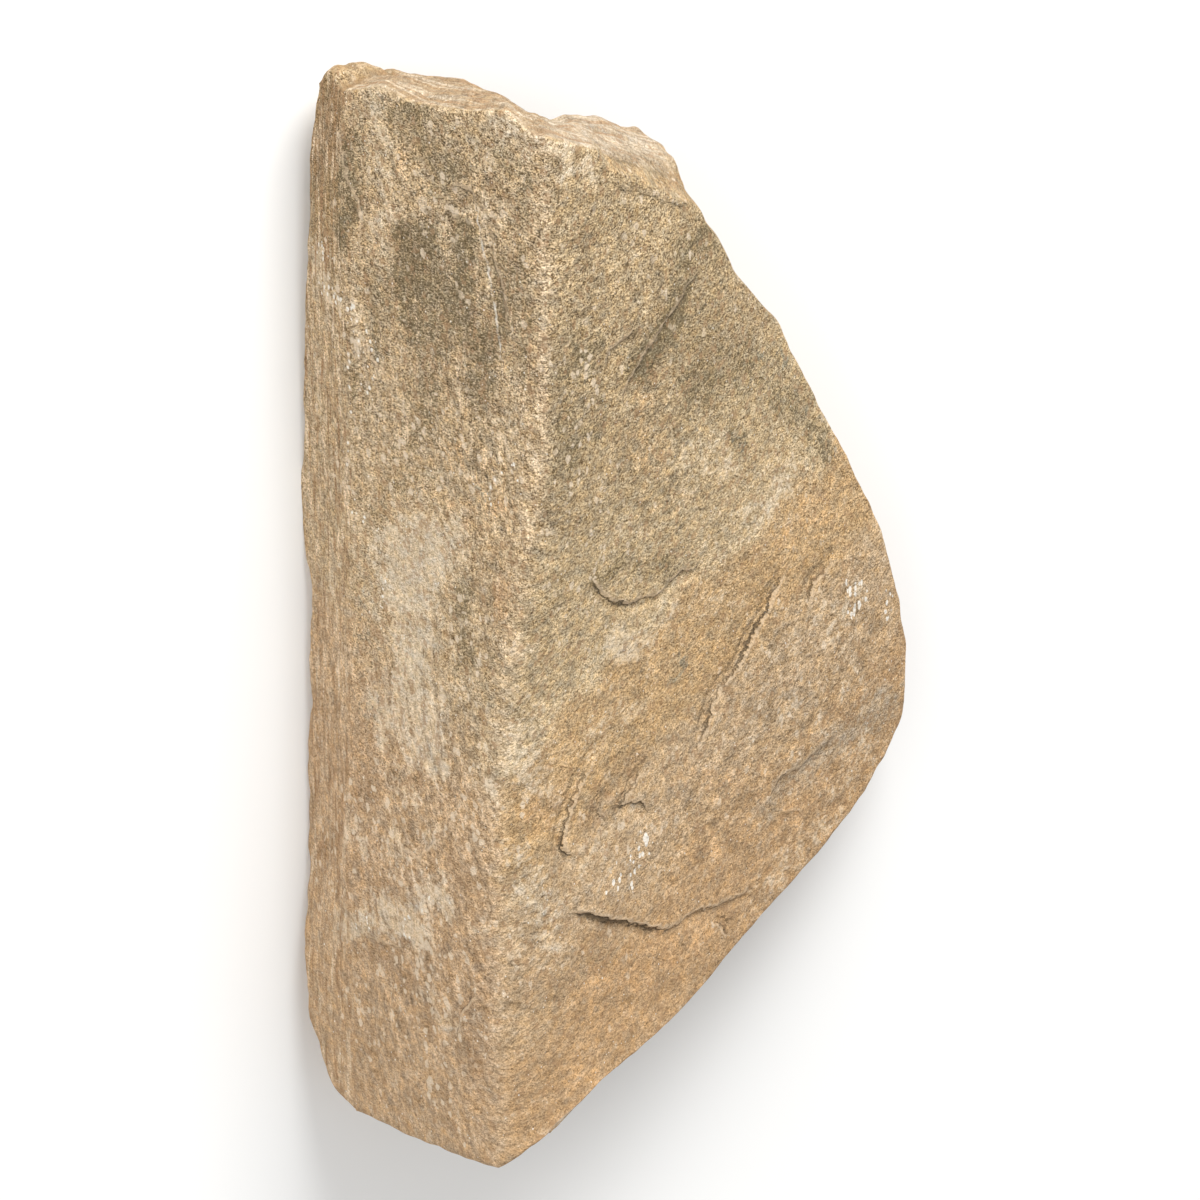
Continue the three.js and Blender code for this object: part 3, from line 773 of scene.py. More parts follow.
# Mask of the strokes: one less the product of what each leaves, where a stroke takes a bell over the distance
# from its path. The place is first shifted by noise, so that the outlines are ragged.
def strokeMask(p, y, strokes, widen):
    far, size, octaves = markWander
    flat = np.zeros_like(p)
    bentP = p + far * fractalNoise(p, y, flat, size, octaves, 400)
    bentY = y + far * fractalNoise(p, y, flat, size, octaves, 410)
    rest = np.ones_like(p)
    for strength, path in strokes:
        distance, reach = fromPath(bentP, bentY, path if len(path) > 1 else path * 2)
        rest *= 1 - strength * np.exp(-((distance / reach / widen) ** 2))
    return 1 - rest


# Masks that the material reads, each named as its attribute: the marks on both faces, bells and smooth steps
# of the place, and the shares of the faces
def paintMasks(points, normals):
    a, b, y = points.T
    edges = maskEdges
    onLong, onShort, longRim, shortRim, head, _ = faceShares(normals)
    longShare = onLong + head * smooth(onLong, *edges["longOverHead"])
    shortShare = onShort + head * smooth(b, *edges["shortOverHead"])
    masks = {}
    for name, strokes in marks.items():
        widen = markReach.get(name, 1)
        masks[name] = longShare * strokeMask(a, y, strokes["long"], widen)
        masks[name] += shortShare * strokeMask(b, y, strokes["short"], widen)
    ridgeA, ridgeB, _ = ridgeAt((y - stone["ridgeFoot"]) / (stone["ridgeHead"] - stone["ridgeFoot"]))
    halfWidth, fade = edges["ridge"]
    masks["arris"] = np.exp(-np.maximum(0, np.hypot(a - ridgeA, b - ridgeB) - halfWidth) / fade)
    masks["short"] = smooth(b - ridgeB - a + ridgeA, *edges["short"])
    (far, size), (moved, stretch) = edges["stripWander"], edges["stripLean"]
    bent = b + far * fractalNoise(a, b, y, size, 2, 430) - moved * smooth(y, *stretch)
    strip = smooth(bent, *edges["strip"])
    masks["strip"] = (onShort + head + shortRim) * strip
    masks["head"] = smooth(head, *edges["head"]) * (1 - strip)
    masks["headAcross"], masks["headAlong"] = headPlace(a, b)
    # Painted light on the rims, which face the bright surround
    masks["worn"] = smooth(longRim + shortRim, *edges["worn"]) * (1 - head)
    masks["calm"] = smooth(head, *edges["calm"])
    base, more = edges["bedsShort"]
    onFace = onShort * (base + more * smooth(y, *edges["bedsRise"]) * smooth(y, *edges["bedsFall"]))
    masks["bedding"] = onFace + (onShort + head) * edges["bedsStrip"] * strip + edges["bedsRim"] * longRim
    reach = edges["paleLineReach"]
    away, _ = fromPath(b, y, [(*place, 0) for place in paleLine])
    masks["paleLine"] = np.where(onShort > 0.5, np.clip(away, -reach, reach), reach)
    return masks


# Section frame to the lying stone in metres, turned so that both far edges touch the floor, and rubbed flat
# where a broken rim would reach below it
def toWorld(points):
    a, b, y = points.T
    height = np.maximum(-a * math.sin(lean) - b * math.cos(lean), floorLevel)
    return np.stack([a * math.cos(lean) - b * math.sin(lean), y, height], -1) * mm


def makeStone():
    points, faces = buildLattice()
    print("lattice built")
    plain = toWorld(points)
    low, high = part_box("stone")
    middle = (plain.min(axis=0) + plain.max(axis=0)) / 2
    middle[2] = plain[:, 2].min()
    shift = np.array([(low.x + high.x) / 2, (low.y + high.y) / 2, low.z]) - middle
    normals = cornerNormals(points, faces)
    masks = paintMasks(points, normals)
    points, crisp, seams = addRelief(points, normals, masks["rough"])
    points = wearEdges(points, faces, cornerNormals(points, faces), crisp)
    masks.update(seams)
    print("relief and marks worked out")
    placed = toWorld(points) + shift
    placed[:, 2] = np.maximum(placed[:, 2], 0)
    mesh = bpy.data.meshes.new("cornerStone")
    mesh.from_pydata(placed, [], [face for f in faces for face in f.tolist()])
    for name, values in masks.items():
        mesh.attributes.new(name, "FLOAT", "POINT").data.foreach_set("value", values.astype(np.float32))
    isSawn = np.arange(len(faces)) >= brokenSheets
    sawnFaces = np.repeat(isSawn, [len(f) for f in faces])
    mesh.materials.append(splitSandstone(shift, masks))
    mesh.materials.append(sawnSandstone(shift))
    mesh.polygons.foreach_set("material_index", sawnFaces.astype(np.int32))
    mesh.polygons.foreach_set("use_smooth", ~sawnFaces)
    mesh.set_sharp_from_angle(angle=math.radians(stone["sharpAngle"]))
    mesh.update()
    print("stone:", len(placed), "vertices,", sum(len(f) * (f.shape[1] - 2) for f in faces), "triangles")
    piece = bpy.data.objects.new("cornerStone", mesh)
    bpy.context.scene.collection.objects.link(piece)
    return piece, shift


# Makes a node, sets its settings, and links or fills its inputs
def addNode(tree, kind, inputs=None, **settings):
    made = tree.nodes.new(kind)
    for name, value in settings.items():
        setattr(made, name, value)
    for socket, value in (inputs or {}).items():
        if isinstance(value, bpy.types.NodeSocket):
            tree.links.new(value, made.inputs[socket])
        else:
            made.inputs[socket].default_value = value
    return made


def addNoise(tree, vector, scale, detail, roughness, distortion=0.0):
    inputs = {"Vector": vector, "Scale": scale, "Detail": detail, "Roughness": roughness}
    return addNode(tree, "ShaderNodeTexNoise", inputs | {"Distortion": distortion}).outputs["Fac"]


def addMath(tree, operation, first, second=0.0):
    return addNode(tree, "ShaderNodeMath", {0: first, 1: second}, operation=operation).outputs[0]


def addTimes(tree, first, second):
    return addMath(tree, "MULTIPLY", first, second)


def addVector(tree, operation, *inputs):
    return addNode(tree, "ShaderNodeVectorMath", dict(enumerate(inputs)), operation=operation).outputs[0]


# Sum of fields, each times its share, on top of a base. Noise averages a half, so to leave the sum as it is,
# the base takes off half of the noises' shares.
def addSum(tree, fields, shares):
    total = shares.get("base", 0.0)
    for name, share in shares.items():
        if name != "base":
            inputs = {0: fields[name], 1: share, 2: total}
            total = addNode(tree, "ShaderNodeMath", inputs, operation="MULTIPLY_ADD").outputs[0]
    return total


# Smooth step of a value from low to high, put out between two levels
def addStep(tree, value, low, high, first=0.0, last=1.0):
    inputs = {"Value": value, "From Min": low, "From Max": high, "To Min": first, "To Max": last}
    return addNode(tree, "ShaderNodeMapRange", inputs, interpolation_type="SMOOTHSTEP").outputs["Result"]


# Product of parts, each a field as it is or, where numbers follow its name, the smooth step of it
def addCover(tree, fields, *parts):
    cover = None
    for name, *ends in parts:
        value = addStep(tree, fields[name], *ends) if ends else fields[name]
        cover = value if cover is None else addTimes(tree, cover, value)
    return cover


def addBlend(tree, factor, first, second):
    return addNode(tree, "ShaderNodeMix", {0: factor, 6: first, 7: second}, data_type="RGBA").outputs[2]


# Turns a place and draws it out, so that a pattern read there is that much longer
def addStretch(tree, vector, turn, size):
    inputs = {"Vector": vector, "Rotation": turn, "Scale": size}
    return addNode(tree, "ShaderNodeMapping", inputs, vector_type="TEXTURE").outputs["Vector"]


def addBump(tree, surface, height, distance):
    bump = addNode(tree, "ShaderNodeBump", {"Height": height, "Distance": distance * mm})
    tree.links.new(bump.outputs["Normal"], surface.inputs["Normal"])


# Object coordinates turned into the stone's section frame and given in millimetres: a, y, and -b upwards,
# measured from the sawn corner, which lies at the shift
def sectionCoordinates(tree, shift):
    coordinates = addNode(tree, "ShaderNodeTexCoord").outputs["Object"]
    corner = Matrix.Rotation(-lean, 3, "Y") @ Vector(shift)
    inputs = {
        "Vector": coordinates, "Rotation": (0, -lean, 0), "Scale": (1 / mm, 1 / mm, 1 / mm),
        "Location": -corner / mm,
    }
    return addNode(tree, "ShaderNodeMapping", inputs).outputs["Vector"]


# Grain of the sand, sizes in millimetres. A noise is its scale, octaves and roughness.
sandGrain = {
    "fine": (1.8, 2.0, 0.9),
    "clump": (0.55, 2.0, 0.7),
    "cellSize": 0.29,
    "shade": {"cell": 2.0, "fine": 1.45, "clump": 1.7, "base": -1.0},
    "tint": (0.92, 1.0, 1.14),  # a pale grain is whiter and a dark one browner than the body
    "leastGain": 0.2,
    "packed": {"dark": 0.60, "shade": -0.3, "otherCell": 0.4, "base": -0.25},
    "packedFade": (0.15, 0.60, 0.0, 0.6),
    "packedTone": (0.125, 0.090, 0.047, 1),
    "height": {"fine": 0.8, "clump": 1.1},
}


# Sand grain that both finishes use: single grains as cells of random shade, and noise that clumps them.
# Dark packs in more dark grains, Contrast says how much the grains differ, Coarse how much they clump, and
# Height is theirs.
def sandGrainGroup():
    group = bpy.data.node_groups.new("sandGrain", "ShaderNodeTree")
    sockets = {"Vector": "Vector", "Body": "Color", "Dark": "Float", "Contrast": "Float", "Coarse": "Float"}
    for name, kind in sockets.items():
        group.interface.new_socket(name, in_out="INPUT", socket_type="NodeSocket" + kind)
    for name, kind in {"Color": "Color", "Height": "Float"}.items():
        group.interface.new_socket(name, in_out="OUTPUT", socket_type="NodeSocket" + kind)
    given = group.nodes.new("NodeGroupInput").outputs
    vector = given["Vector"]
    fine = addNoise(group, vector, *sandGrain["fine"])
    # Each grain has its own shade: the place, bent by the noise, is snapped to cells
    snapped = addVector(group, "SNAP", addVector(group, "ADD", vector, fine), (sandGrain["cellSize"],) * 3)
    cell = addNode(group, "ShaderNodeTexWhiteNoise", {"Vector": snapped})
    pick = addNode(group, "ShaderNodeSeparateColor", {"Color": cell.outputs["Color"]}).outputs
    clump = addMath(group, "SUBTRACT", addNoise(group, vector, *sandGrain["clump"]), 0.5)
    fields = {
        "cell": pick["Red"], "otherCell": pick["Blue"], "dark": given["Dark"],
        "fine": addMath(group, "SUBTRACT", fine, 0.5), "clump": addTimes(group, clump, given["Coarse"]),
    }
    fields["shade"] = addSum(group, fields, sandGrain["shade"])
    spread = addTimes(group, fields["shade"], given["Contrast"])
    gain = addVector(group, "MULTIPLY_ADD", sandGrain["tint"], spread, (1.0, 1.0, 1.0))
    gain = addVector(group, "MAXIMUM", gain, (sandGrain["leastGain"],) * 3)
    color = addVector(group, "MULTIPLY", given["Body"], gain)
    packed = addStep(group, addSum(group, fields, sandGrain["packed"]), *sandGrain["packedFade"])
    result = group.nodes.new("NodeGroupOutput").inputs
    group.links.new(addBlend(group, packed, color, sandGrain["packedTone"]), result["Color"])
    group.links.new(addSum(group, fields, sandGrain["height"]), result["Height"])


def addGrain(tree, **inputs):
    group = addNode(tree, "ShaderNodeGroup", node_tree=bpy.data.node_groups["sandGrain"])
    for name, value in inputs.items():
        socket = group.inputs[name.capitalize()]
        if isinstance(value, bpy.types.NodeSocket):
            tree.links.new(value, socket)
        else:
            socket.default_value = value
    return group.outputs["Color"], group.outputs["Height"]


# Split finish. Colours are linear, and lengths are in millimetres. A field is a noise, a mask of the mesh or
# something made of them; a fade is the low and high end of a smooth step and what it puts out at both.
splitFinish = {
    "bandSlope": (-0.61, 1.0, 0.57),  # over a, y and -b: iron bands run through the stone as slanted sheets
    "bandSpan": (-120, 80),  # of the level, which is the height above the pale band
    "lean": 20,  # degrees between the beds and the marks drawn out on the short face
    "brushedStretch": (1.0, 1.45, 1.45),  # across the band sheets and along them
    "drawnStretch": (3.3, 7.5, 2.6),
    "chipStretch": (1.6, 2.3, 1.6),
    "bedScale": (0.08, 0.06, 0.75),
    "noises": {  # where it is read, scale, octaves and roughness
        "broad": ("plain", 0.035, 1.0, 0.6), "fleck": ("plain", 0.8, 2.0, 0.6),
        "mottle": ("brushed", 0.22, 3.0, 0.75), "spots": ("brushed", 0.55, 2.0, 0.65),
        "hue": ("brushed", 0.45, 1.0, 0.7), "streak": ("bedded", 1.0, 2.0, 0.75),
        "drawn": ("leaning", 1.0, 3.0, 0.75),
    },
    "layerScale": (0.42, 0.035),  # across the head and along it
    "layerNoise": (1.0, 2.0, 0.7, 0.3),
    "sums": {
        "turned": {"short": 1.0, "mottle": 1.0, "base": -0.5},  # round the ridge to the short face
        "level": {"slope": 1.0, "broad": 26.0, "mottle": 9.0, "base": -6.6},
        "hue": {"hue": 2.8, "base": -1.4},
        "brinkHighlight": {"head": -3.0, "base": 3.0},  # rounded edge of the head, where a pale painted highlight lies
        "mottleGain": {"rough": 0.9, "bloomCover": -0.6, "base": 1.3},
        # The rims are painted lighter: painted light from the bright surround
        "brightness": {"onShort": -0.05, "worn": 0.08, "base": 1.005},
        "coarse": {"rough": 0.8, "onShort": 0.2, "base": 0.15},
        "contrast": {"onShort": 0.02, "bloomCover": -0.26, "strip": -0.12, "base": 0.575},
        "calm": {"calm": -0.60, "base": 1.0},
        "chipEdge": {"chipDistance": 1.0, "fleck": 1.3, "chipSize": 0.5, "base": -0.90},
        # High where a pale chip shows, low where a pit does
        "crowd": {"chipDraw": 1.0, "freckle": 0.30, "breakup": 0.5, "bloomCover": -0.1, "base": -0.25},
        "chalkHeap": {"chalk": 1.3, "fleck": 1.4, "chipDistance": -3.0, "base": 0.16},
        "paleLineOff": {"paleLine": 1.0, "spots": 1.4, "base": -0.7},  # distance from the pale line
        "course": {"seam": 1.0, "spots": 3.0, "base": -1.5},  # distance from a ledge, positive below it
        "gapWidth": {"seamDrop": 0.85, "base": -0.35},
        "height": {"grain": 1.0, "spots": 2.4, "wall": -1.4, "shadedGap": -1.0},
    },
    "turnedFade": (0.35, 0.65),
    "longBands": [
        (-120, (0.475, 0.307, 0.163)), (-84, (0.475, 0.310, 0.166)), (-74, (0.490, 0.337, 0.192)),
        (-58, (0.502, 0.355, 0.212)), (-40, (0.502, 0.355, 0.208)), (-30, (0.505, 0.338, 0.174)),
        (-3, (0.505, 0.342, 0.180)), (3, (0.572, 0.436, 0.265)), (10, (0.505, 0.374, 0.216)),
        (40, (0.480, 0.358, 0.207)), (64, (0.430, 0.316, 0.182)), (80, (0.425, 0.312, 0.178)),
    ],
    "shortBands": [
        (-120, (0.505, 0.340, 0.197)), (-60, (0.520, 0.348, 0.202)), (-14, (0.535, 0.368, 0.216)),
        (4, (0.530, 0.388, 0.232)), (80, (0.500, 0.366, 0.216)),
    ],
    "headTone": (0.405, 0.322, 0.228, 1),
    "shortHeadTone": (0.345, 0.248, 0.149, 1),
    "headShare": 0.85,
    "stripTone": (0.35, 0.24, 0.122, 1),
    "stripFade": (40.0, 105.0),  # over the slope
    # Marks in the order they are laid: mask, colour, strength, the fade of mask plus noise, and how much
    # noise that is
    "patches": [
        ("warm", (0.62, 0.37, 0.175, 1), 0.50, (0.30, 1.10), 2.2),
        ("slate", (0.36, 0.31, 0.235, 1), 0.55, (0.30, 1.10), 1.6),
        ("bloom", (0.69, 0.565, 0.405, 1), 0.69, (0.20, 0.85), 1.8),
        ("brown", (0.24, 0.145, 0.075, 1), 0.50, (0.35, 1.00), 2.2),
        ("stain", (0.15, 0.118, 0.060, 1), 0.64, (0.28, 0.97), 1.8),
    ],
    "speckPatch": ("speck", (0.20, 0.20, 0.155, 1), 0.6, (0.45, 0.9), 1.2),
    "patchNoise": {"spots": 1.0, "fleck": 0.7},
    "hueSwing": (0.10, 0.01, -0.15),
    "tones": {
        "layer": (0.66, 0.54, 0.40, 1),
        "rust": (0.36, 0.215, 0.11, 1),
        # Paler fresh stone on the beds and the ridge; along a ledge's lip the same tone is a painted
        # highlight
        "fresh": (0.66, 0.50, 0.335, 1),
        "chip": (0.74, 0.60, 0.44, 1),
        "chalk": (0.86, 0.80, 0.70, 1),
        # Painted shade in the crack under a ledge
        "seam": (0.125, 0.09, 0.053, 1),
    },
    # What lies under the grain and over it: a tone, then the fields and fades whose product is its share
    "underGrain": [
        ("layer", ("head",), ("layers", 0.50, 0.62, 0.0, 0.55)),
        ("rust", ("head",), ("layers", 0.49, 0.38, 0.0, 0.60)),
        # Painted highlight along the head's rounded front edge
        ("layer", ("head",), ("brinkHighlight",), ("spots", 0.35, 0.75, 0.1, 0.6)),
        ("rust", ("bedding",), ("streak", 0.50, 0.72, 0.0, 0.60)),
        ("fresh", ("bedding",), ("streak", 0.50, 0.28, 0.0, 0.60)),
        ("fresh", ("arris",), ("spots", 0.30, 0.70, 0.05, 0.40)),
    ],
    "overGrain": [
        ("chip", ("chipEdge", 0.62, 0.36), ("crowd", 0.90, 1.10, 0.0, 0.75)),
        ("rust", ("chipEdge", 0.62, 0.36), ("crowd", 0.34, 0.16, 0.0, 0.5)),
        ("chalk", ("chalkHeap", 0.55, 0.85, 0.0, 0.9)),
        ("chalk", ("paleLineOff", 0.5, 0.15, 0.0, 0.7), ("mottle", 0.35, 0.6)),
        # Painted shade in the gap under each ledge
        ("seam", ("shadedGap",)),
        # Painted highlight along each ledge's lip
        ("fresh", ("course", -1.5, -0.8), ("course", -0.15, -0.5), ("seamDrop", 0.2, 1.2, 0.0, 0.60)),
    ],
    # A ledge's dark gap, narrow where its drop is small: painted shade in the crack under the ledge, which
    # also cuts a groove into the bump; and its wall
    "shadedGap": [("course", -0.25, 0.05), ("gapShare", 1.0, 0.1), ("seamDrop", 0.5, 1.6, 0.0, 0.85)],
    "wall": [("course", -0.35, 0.25), ("seamDrop",)],
    "grainGrowth": {"From Min": -125, "From Max": 100, "To Min": 0.62, "To Max": 1.50},  # contrast over y
    "roughness": 0.92,
    "bumpHeight": 0.5,
}


def startMaterial(name, roughness):
    material = bpy.data.materials.new(name)
    material.use_nodes = True
    tree = material.node_tree
    tree.nodes.clear()
    surface = addNode(tree, "ShaderNodeBsdfPrincipled", {"Specular IOR Level": 0.25, "Roughness": roughness})
    output = tree.nodes.new("ShaderNodeOutputMaterial")
    tree.links.new(surface.outputs["BSDF"], output.inputs["Surface"])
    return material, tree, surface


# Colour ramp over the band level
def addBands(tree, level, stops):
    low, high = splitFinish["bandSpan"]
    share = addNode(tree, "ShaderNodeMapRange", {"Value": level, "From Min": low, "From Max": high})
    made = addNode(tree, "ShaderNodeValToRGB", {"Fac": share.outputs["Result"]})
    elements = made.color_ramp.elements
    elements[0].color = (*stops[0][1], 1)
    elements[-1].color = (*stops[-1][1], 1)
    for place, tone in stops[1:-1]:
        elements.new((place - low) / (high - low)).color = (*tone, 1)
    return made.outputs["Color"]


# The mesh's masks, the noises, and what the finish makes of them, by name
def addFields(tree, vector, masks):
    finish = splitFinish
    fields = {}
    for name in masks:
        fields[name] = addNode(tree, "ShaderNodeAttribute", attribute_name=name).outputs["Fac"]
    sheets = Vector(finish["bandSlope"]).to_track_quat("X", "Z").to_euler()
    leaning = (-math.radians(finish["lean"]), 0, 0)
    places = {
        "plain": vector,
        "brushed": addStretch(tree, vector, sheets, finish["brushedStretch"]),
        "leaning": addStretch(tree, vector, leaning, finish["drawnStretch"]),
        "bedded": addVector(tree, "MULTIPLY", vector, finish["bedScale"]),
    }
    for name, (place, *noise) in finish["noises"].items():
        fields[name] = addNoise(tree, places[place], *noise)
    inputs = {0: vector, 1: finish["bandSlope"]}
    slope = addNode(tree, "ShaderNodeVectorMath", inputs, operation="DOT_PRODUCT")
    fields["slope"] = slope.outputs["Value"]
    fields["onShort"] = addStep(tree, addSum(tree, fields, finish["sums"]["turned"]), *finish["turnedFade"])
    # The noise that breaks up a patch is drawn out along the beds on the short face
    inputs = {0: fields["onShort"], 2: fields["mottle"], 3: fields["drawn"]}
    fields["breakup"] = addNode(tree, "ShaderNodeMix", inputs, data_type="FLOAT").outputs[0]
    across, along = finish["layerScale"]
    inputs = {
        "X": addTimes(tree, fields["headAcross"], across), "Y": addTimes(tree, fields["headAlong"], along),
    }
    onHead = addNode(tree, "ShaderNodeCombineXYZ", inputs).outputs["Vector"]
    fields["layers"] = addNoise(tree, onHead, *finish["layerNoise"])
    fields["brinkHighlight"] = addSum(tree, fields, finish["sums"]["brinkHighlight"])
    chipPlace = addStretch(tree, vector, leaning, finish["chipStretch"])
    chip = addNode(tree, "ShaderNodeTexVoronoi", {"Vector": chipPlace, "Scale": 1.0}).outputs
    draws = addNode(tree, "ShaderNodeSeparateColor", {"Color": chip["Color"]}).outputs
    fields |= {"chipDistance": chip["Distance"], "chipDraw": draws["Red"], "chipSize": draws["Green"]}
    for name in ("chipEdge", "chalkHeap", "course", "gapWidth"):
        fields[name] = addSum(tree, fields, finish["sums"][name])
    fields["paleLineOff"] = addMath(tree, "ABSOLUTE", addSum(tree, fields, finish["sums"]["paleLineOff"]))
    fields["gapShare"] = addMath(tree, "DIVIDE", fields["course"], fields["gapWidth"])
    # Painted shade in the gap under a ledge, and a groove in the bump
    fields["shadedGap"] = addCover(tree, fields, *finish["shadedGap"])
    fields["wall"] = addCover(tree, fields, *finish["wall"])
    return fields, places["brushed"]


# Lays a patch over the colour where its mask and the noises add up to enough, and keeps its cover as a field
def layPatch(tree, fields, color, patch):
    name, tone, strength, ends, wander = patch
    noise = {"breakup": wander, **splitFinish["patchNoise"]}
    total = addSum(tree, fields, {name: 1.0, **noise, "base": -sum(noise.values()) / 2})
    cover = fields[name + "Cover"] = addStep(tree, total, *ends)
    return addBlend(tree, addTimes(tree, cover, strength), color, tone)


# Iron bands, the tones of the head and of the far strip of the short face, the patches, and a slow change
# of hue
def paintBody(tree, fields):
    finish = splitFinish
    level = addSum(tree, fields, finish["sums"]["level"])
    bands = [addBands(tree, level, finish[side]) for side in ("longBands", "shortBands")]
    color = addBlend(tree, fields["onShort"], *bands)
    headTone = addBlend(tree, fields["onShort"], finish["headTone"], finish["shortHeadTone"])
    color = addBlend(tree, addTimes(tree, fields["head"], finish["headShare"]), color, headTone)
    strip = addCover(tree, fields, ("strip",), ("slope", *finish["stripFade"]))
    color = addBlend(tree, strip, color, finish["stripTone"])
    for patch in finish["patches"]:
        color = layPatch(tree, fields, color, patch)
    swing = addSum(tree, fields, finish["sums"]["hue"])
    hue = addVector(tree, "MULTIPLY_ADD", finish["hueSwing"], swing, (1.0, 1.0, 1.0))
    return addVector(tree, "MULTIPLY", color, hue)


def layTones(tree, fields, color, rows):
    for tone, *parts in rows:
        color = addBlend(tree, addCover(tree, fields, *parts), color, splitFinish["tones"][tone])
    return color


# Split faces: the body, layers and beds, a painted highlight on the head's rounded edge, a mottle, the
# grains, then chips, chalk, the pale line and the ledges, each with painted shade in its gap and a painted
# highlight along its lip
def splitSandstone(shift, masks):
    finish, sums = splitFinish, splitFinish["sums"]
    material, tree, surface = startMaterial("splitSandstone", finish["roughness"])
    vector = sectionCoordinates(tree, shift)
    fields, brushed = addFields(tree, vector, masks)
    color = layTones(tree, fields, paintBody(tree, fields), finish["underGrain"])
    color = layPatch(tree, fields, color, finish["speckPatch"])
    fields["crowd"] = addSum(tree, fields, sums["crowd"])
    centred = addMath(tree, "SUBTRACT", fields["breakup"], 0.5)
    mottle = addTimes(tree, centred, addSum(tree, fields, sums["mottleGain"]))
    mottle = addMath(tree, "ADD", mottle, addSum(tree, fields, sums["brightness"]))
    color = addNode(tree, "ShaderNodeVectorMath", {0: color, "Scale": mottle}, operation="SCALE").outputs[0]
    y = addNode(tree, "ShaderNodeSeparateXYZ", {"Vector": vector}).outputs["Y"]
    inputs = {"Value": y, **finish["grainGrowth"]}
    growth = addNode(tree, "ShaderNodeMapRange", inputs).outputs["Result"]
    calm = addSum(tree, fields, sums["calm"])
    contrast = addTimes(tree, addTimes(tree, addSum(tree, fields, sums["contrast"]), growth), calm)
    coarse = addSum(tree, fields, sums["coarse"])
    stain = fields["stainCover"]
    color, grain = addGrain(tree, vector=brushed, body=color, dark=stain, contrast=contrast, coarse=coarse)
    fields["grain"] = addTimes(tree, grain, calm)
    color = layTones(tree, fields, color, finish["overGrain"])
    tree.links.new(color, surface.inputs["Base Color"])
    addBump(tree, surface, addSum(tree, fields, sums["height"]), finish["bumpHeight"])
    return material


# Sawn finish: the same grain, cut smooth, with the wide arcs that the blade leaves
sawnFinish = {
    "tones": ((0.47, 0.35, 0.225, 1), (0.43, 0.31, 0.19, 1)),
    "toneNoise": (0.03, 3.0, 0.6),
    "toneFade": (0.3, 0.7),
    "grainContrast": 0.5,
    "grainCoarse": 0.2,
    "arcTone": (0.56, 0.45, 0.32, 1),
    "arcShare": 0.12,
    "arcCentre": (-260, 60, 0),
    "arcShape": {"Scale": 0.12, "Distortion": 1.5, "Detail": 2.0},
    "height": {"grain": 0.3, "arcs": 0.3},
    "roughness": 0.85,
    "bumpHeight": 0.2,
}


def sawnSandstone(shift):
    finish = sawnFinish
    material, tree, surface = startMaterial("sawnSandstone", finish["roughness"])
    vector = sectionCoordinates(tree, shift)
    broad = addNoise(tree, vector, *finish["toneNoise"])
    color = addBlend(tree, addStep(tree, broad, *finish["toneFade"]), *finish["tones"])
    contrast, coarse = finish["grainContrast"], finish["grainCoarse"]
    color, grain = addGrain(tree, vector=vector, body=color, dark=0.0, contrast=contrast, coarse=coarse)
    centred = addVector(tree, "ADD", vector, finish["arcCentre"])
    inputs = {"Vector": centred, **finish["arcShape"]}
    arcs = addNode(tree, "ShaderNodeTexWave", inputs, wave_type="RINGS", rings_direction="Z").outputs["Fac"]
    color = addBlend(tree, addTimes(tree, arcs, finish["arcShare"]), color, finish["arcTone"])
    tree.links.new(color, surface.inputs["Base Color"])
    height = addSum(tree, {"grain": grain, "arcs": arcs}, finish["height"])
    addBump(tree, surface, height, finish["bumpHeight"])
    return material


# Camera, in the section frame: it looks square at neither leg, from a little above the head end
view = {
    "fromLongFace": 48,  # degrees between the view and the long face's normal
    "elevation": 10,  # degrees towards the head
    "lens": 135,
    "sensor": 36,
    "frameWidth": 324 * mm,  # what the frame spans at the stone
    "arris": (-29.0, -29.0, 0.0),  # nominal ridge at mid length, over a, b and y
    "aimRight": 20.25 * mm,  # of the arris
    "aimUp": 4.05 * mm,
}


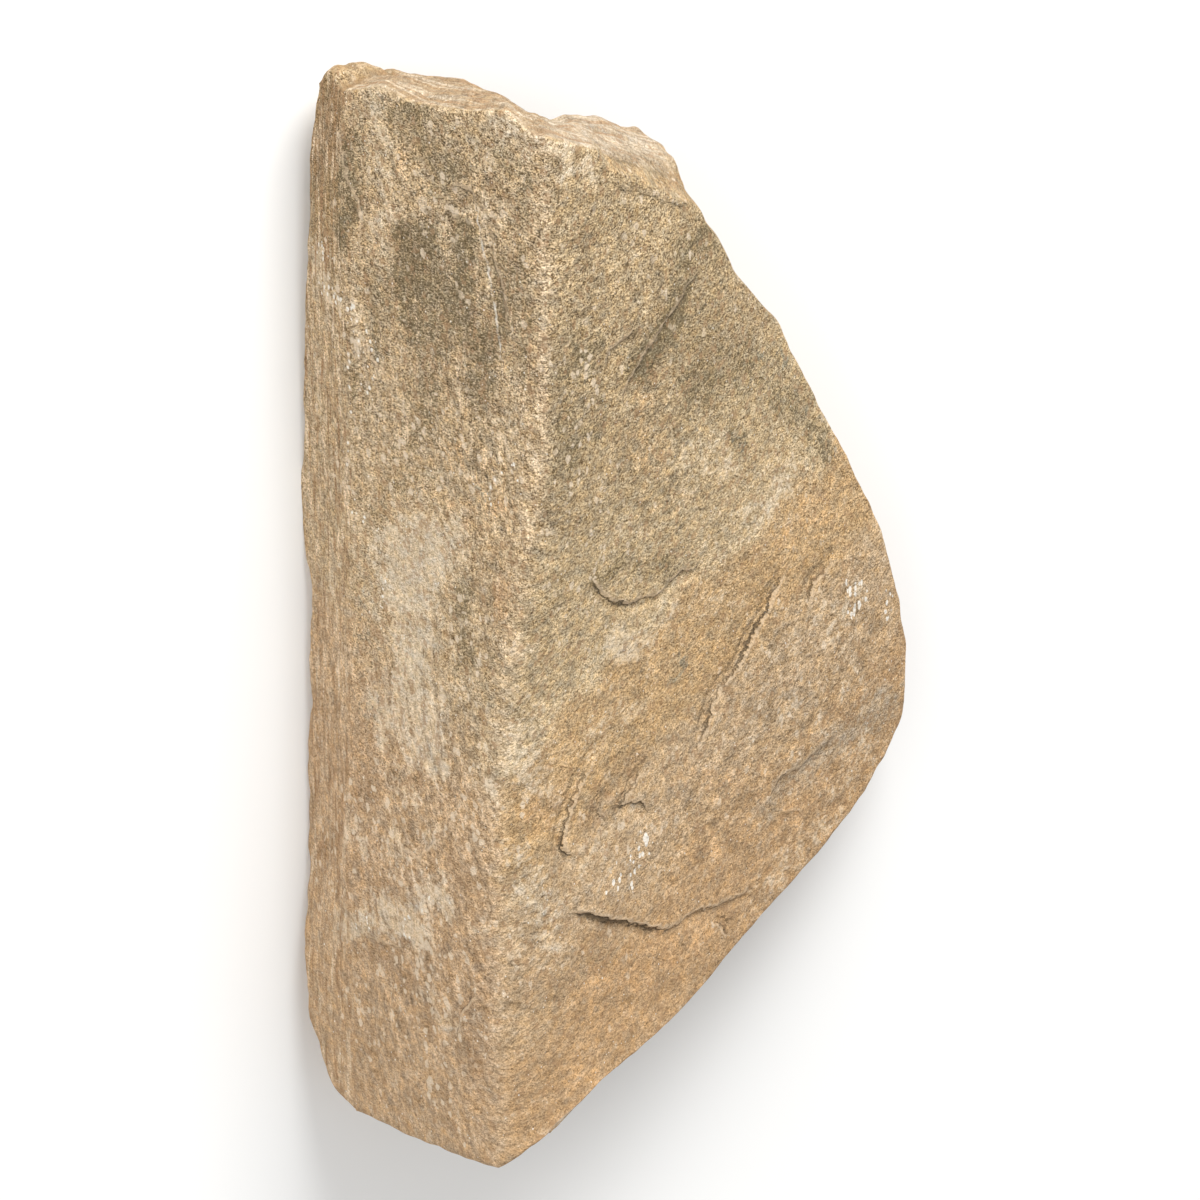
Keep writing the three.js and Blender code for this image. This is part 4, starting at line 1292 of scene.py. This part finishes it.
def makeCamera(shift):
    tilt = math.radians(view["fromLongFace"]) - lean
    rise = math.radians(view["elevation"])
    outward = Vector((-math.sin(tilt) * math.cos(rise), math.sin(rise), math.cos(tilt) * math.cos(rise)))
    right = Vector((0, 1, 0)).cross(outward).normalized()
    up = outward.cross(right)
    arris = toWorld(np.array([view["arris"]]))[0] + shift
    aim = Vector(arris) + right * view["aimRight"] + up * view["aimUp"]
    data = bpy.data.cameras.new("camera")
    data.lens = view["lens"]
    data.sensor_width = view["sensor"]
    data.clip_end = 10  # metres
    camera = bpy.data.objects.new("camera", data)
    turn = Matrix((right, up, outward)).transposed().to_4x4()
    distance = view["frameWidth"] * view["lens"] / view["sensor"]
    camera.matrix_world = Matrix.Translation(aim + outward * distance) @ turn
    bpy.context.scene.collection.objects.link(camera)
    bpy.context.scene.camera = camera


# Soft boxes: name, place, width and height, power. Each faces the stone.
lights = [
    ("keyBox", (0.2, 1.5, 1.1), (1.1, 0.9), 34),
    ("fillBox", (-1.5, 0.0, 1.2), (1.4, 1.4), 10),
]
surround = 0.60  # strength of the white world


def makeLights():
    for name, place, size, power in lights:
        data = bpy.data.lights.new(name, "AREA")
        data.shape = "RECTANGLE"
        data.size, data.size_y = size
        data.energy = power
        lamp = bpy.data.objects.new(name, data)
        lamp.location = place
        lamp.rotation_euler = Vector(place).to_track_quat("Z", "Y").to_euler()
        bpy.context.scene.collection.objects.link(lamp)
    world = bpy.data.worlds.new("studio")
    world.use_nodes = True
    background = world.node_tree.nodes["Background"].inputs
    background["Color"].default_value = (1, 1, 1, 1)
    background["Strength"].default_value = surround
    bpy.context.scene.world = world
    bpy.context.scene.view_settings.view_transform = "Standard"


ground = {"tone": (0.9, 0.9, 0.89, 1), "roughness": 0.9, "half": 3.0}  # half its width, in metres


def makeFloor():
    material, _, surface = startMaterial("paleFloor", ground["roughness"])
    surface.inputs["Base Color"].default_value = ground["tone"]
    mesh = bpy.data.meshes.new("floor")
    half = ground["half"]
    corners = [(x * half, y * half, 0) for x, y in ((-1, -1), (1, -1), (1, 1), (-1, 1))]
    mesh.from_pydata(corners, [], [(0, 1, 2, 3)])
    mesh.materials.append(material)
    floor = bpy.data.objects.new("floor", mesh)
    bpy.context.scene.collection.objects.link(floor)


sandGrainGroup()
piece, shift = makeStone()
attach(piece, "root")
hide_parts("stone")
makeCamera(shift)
makeLights()
makeFloor()
print("camera, lights and floor set up")
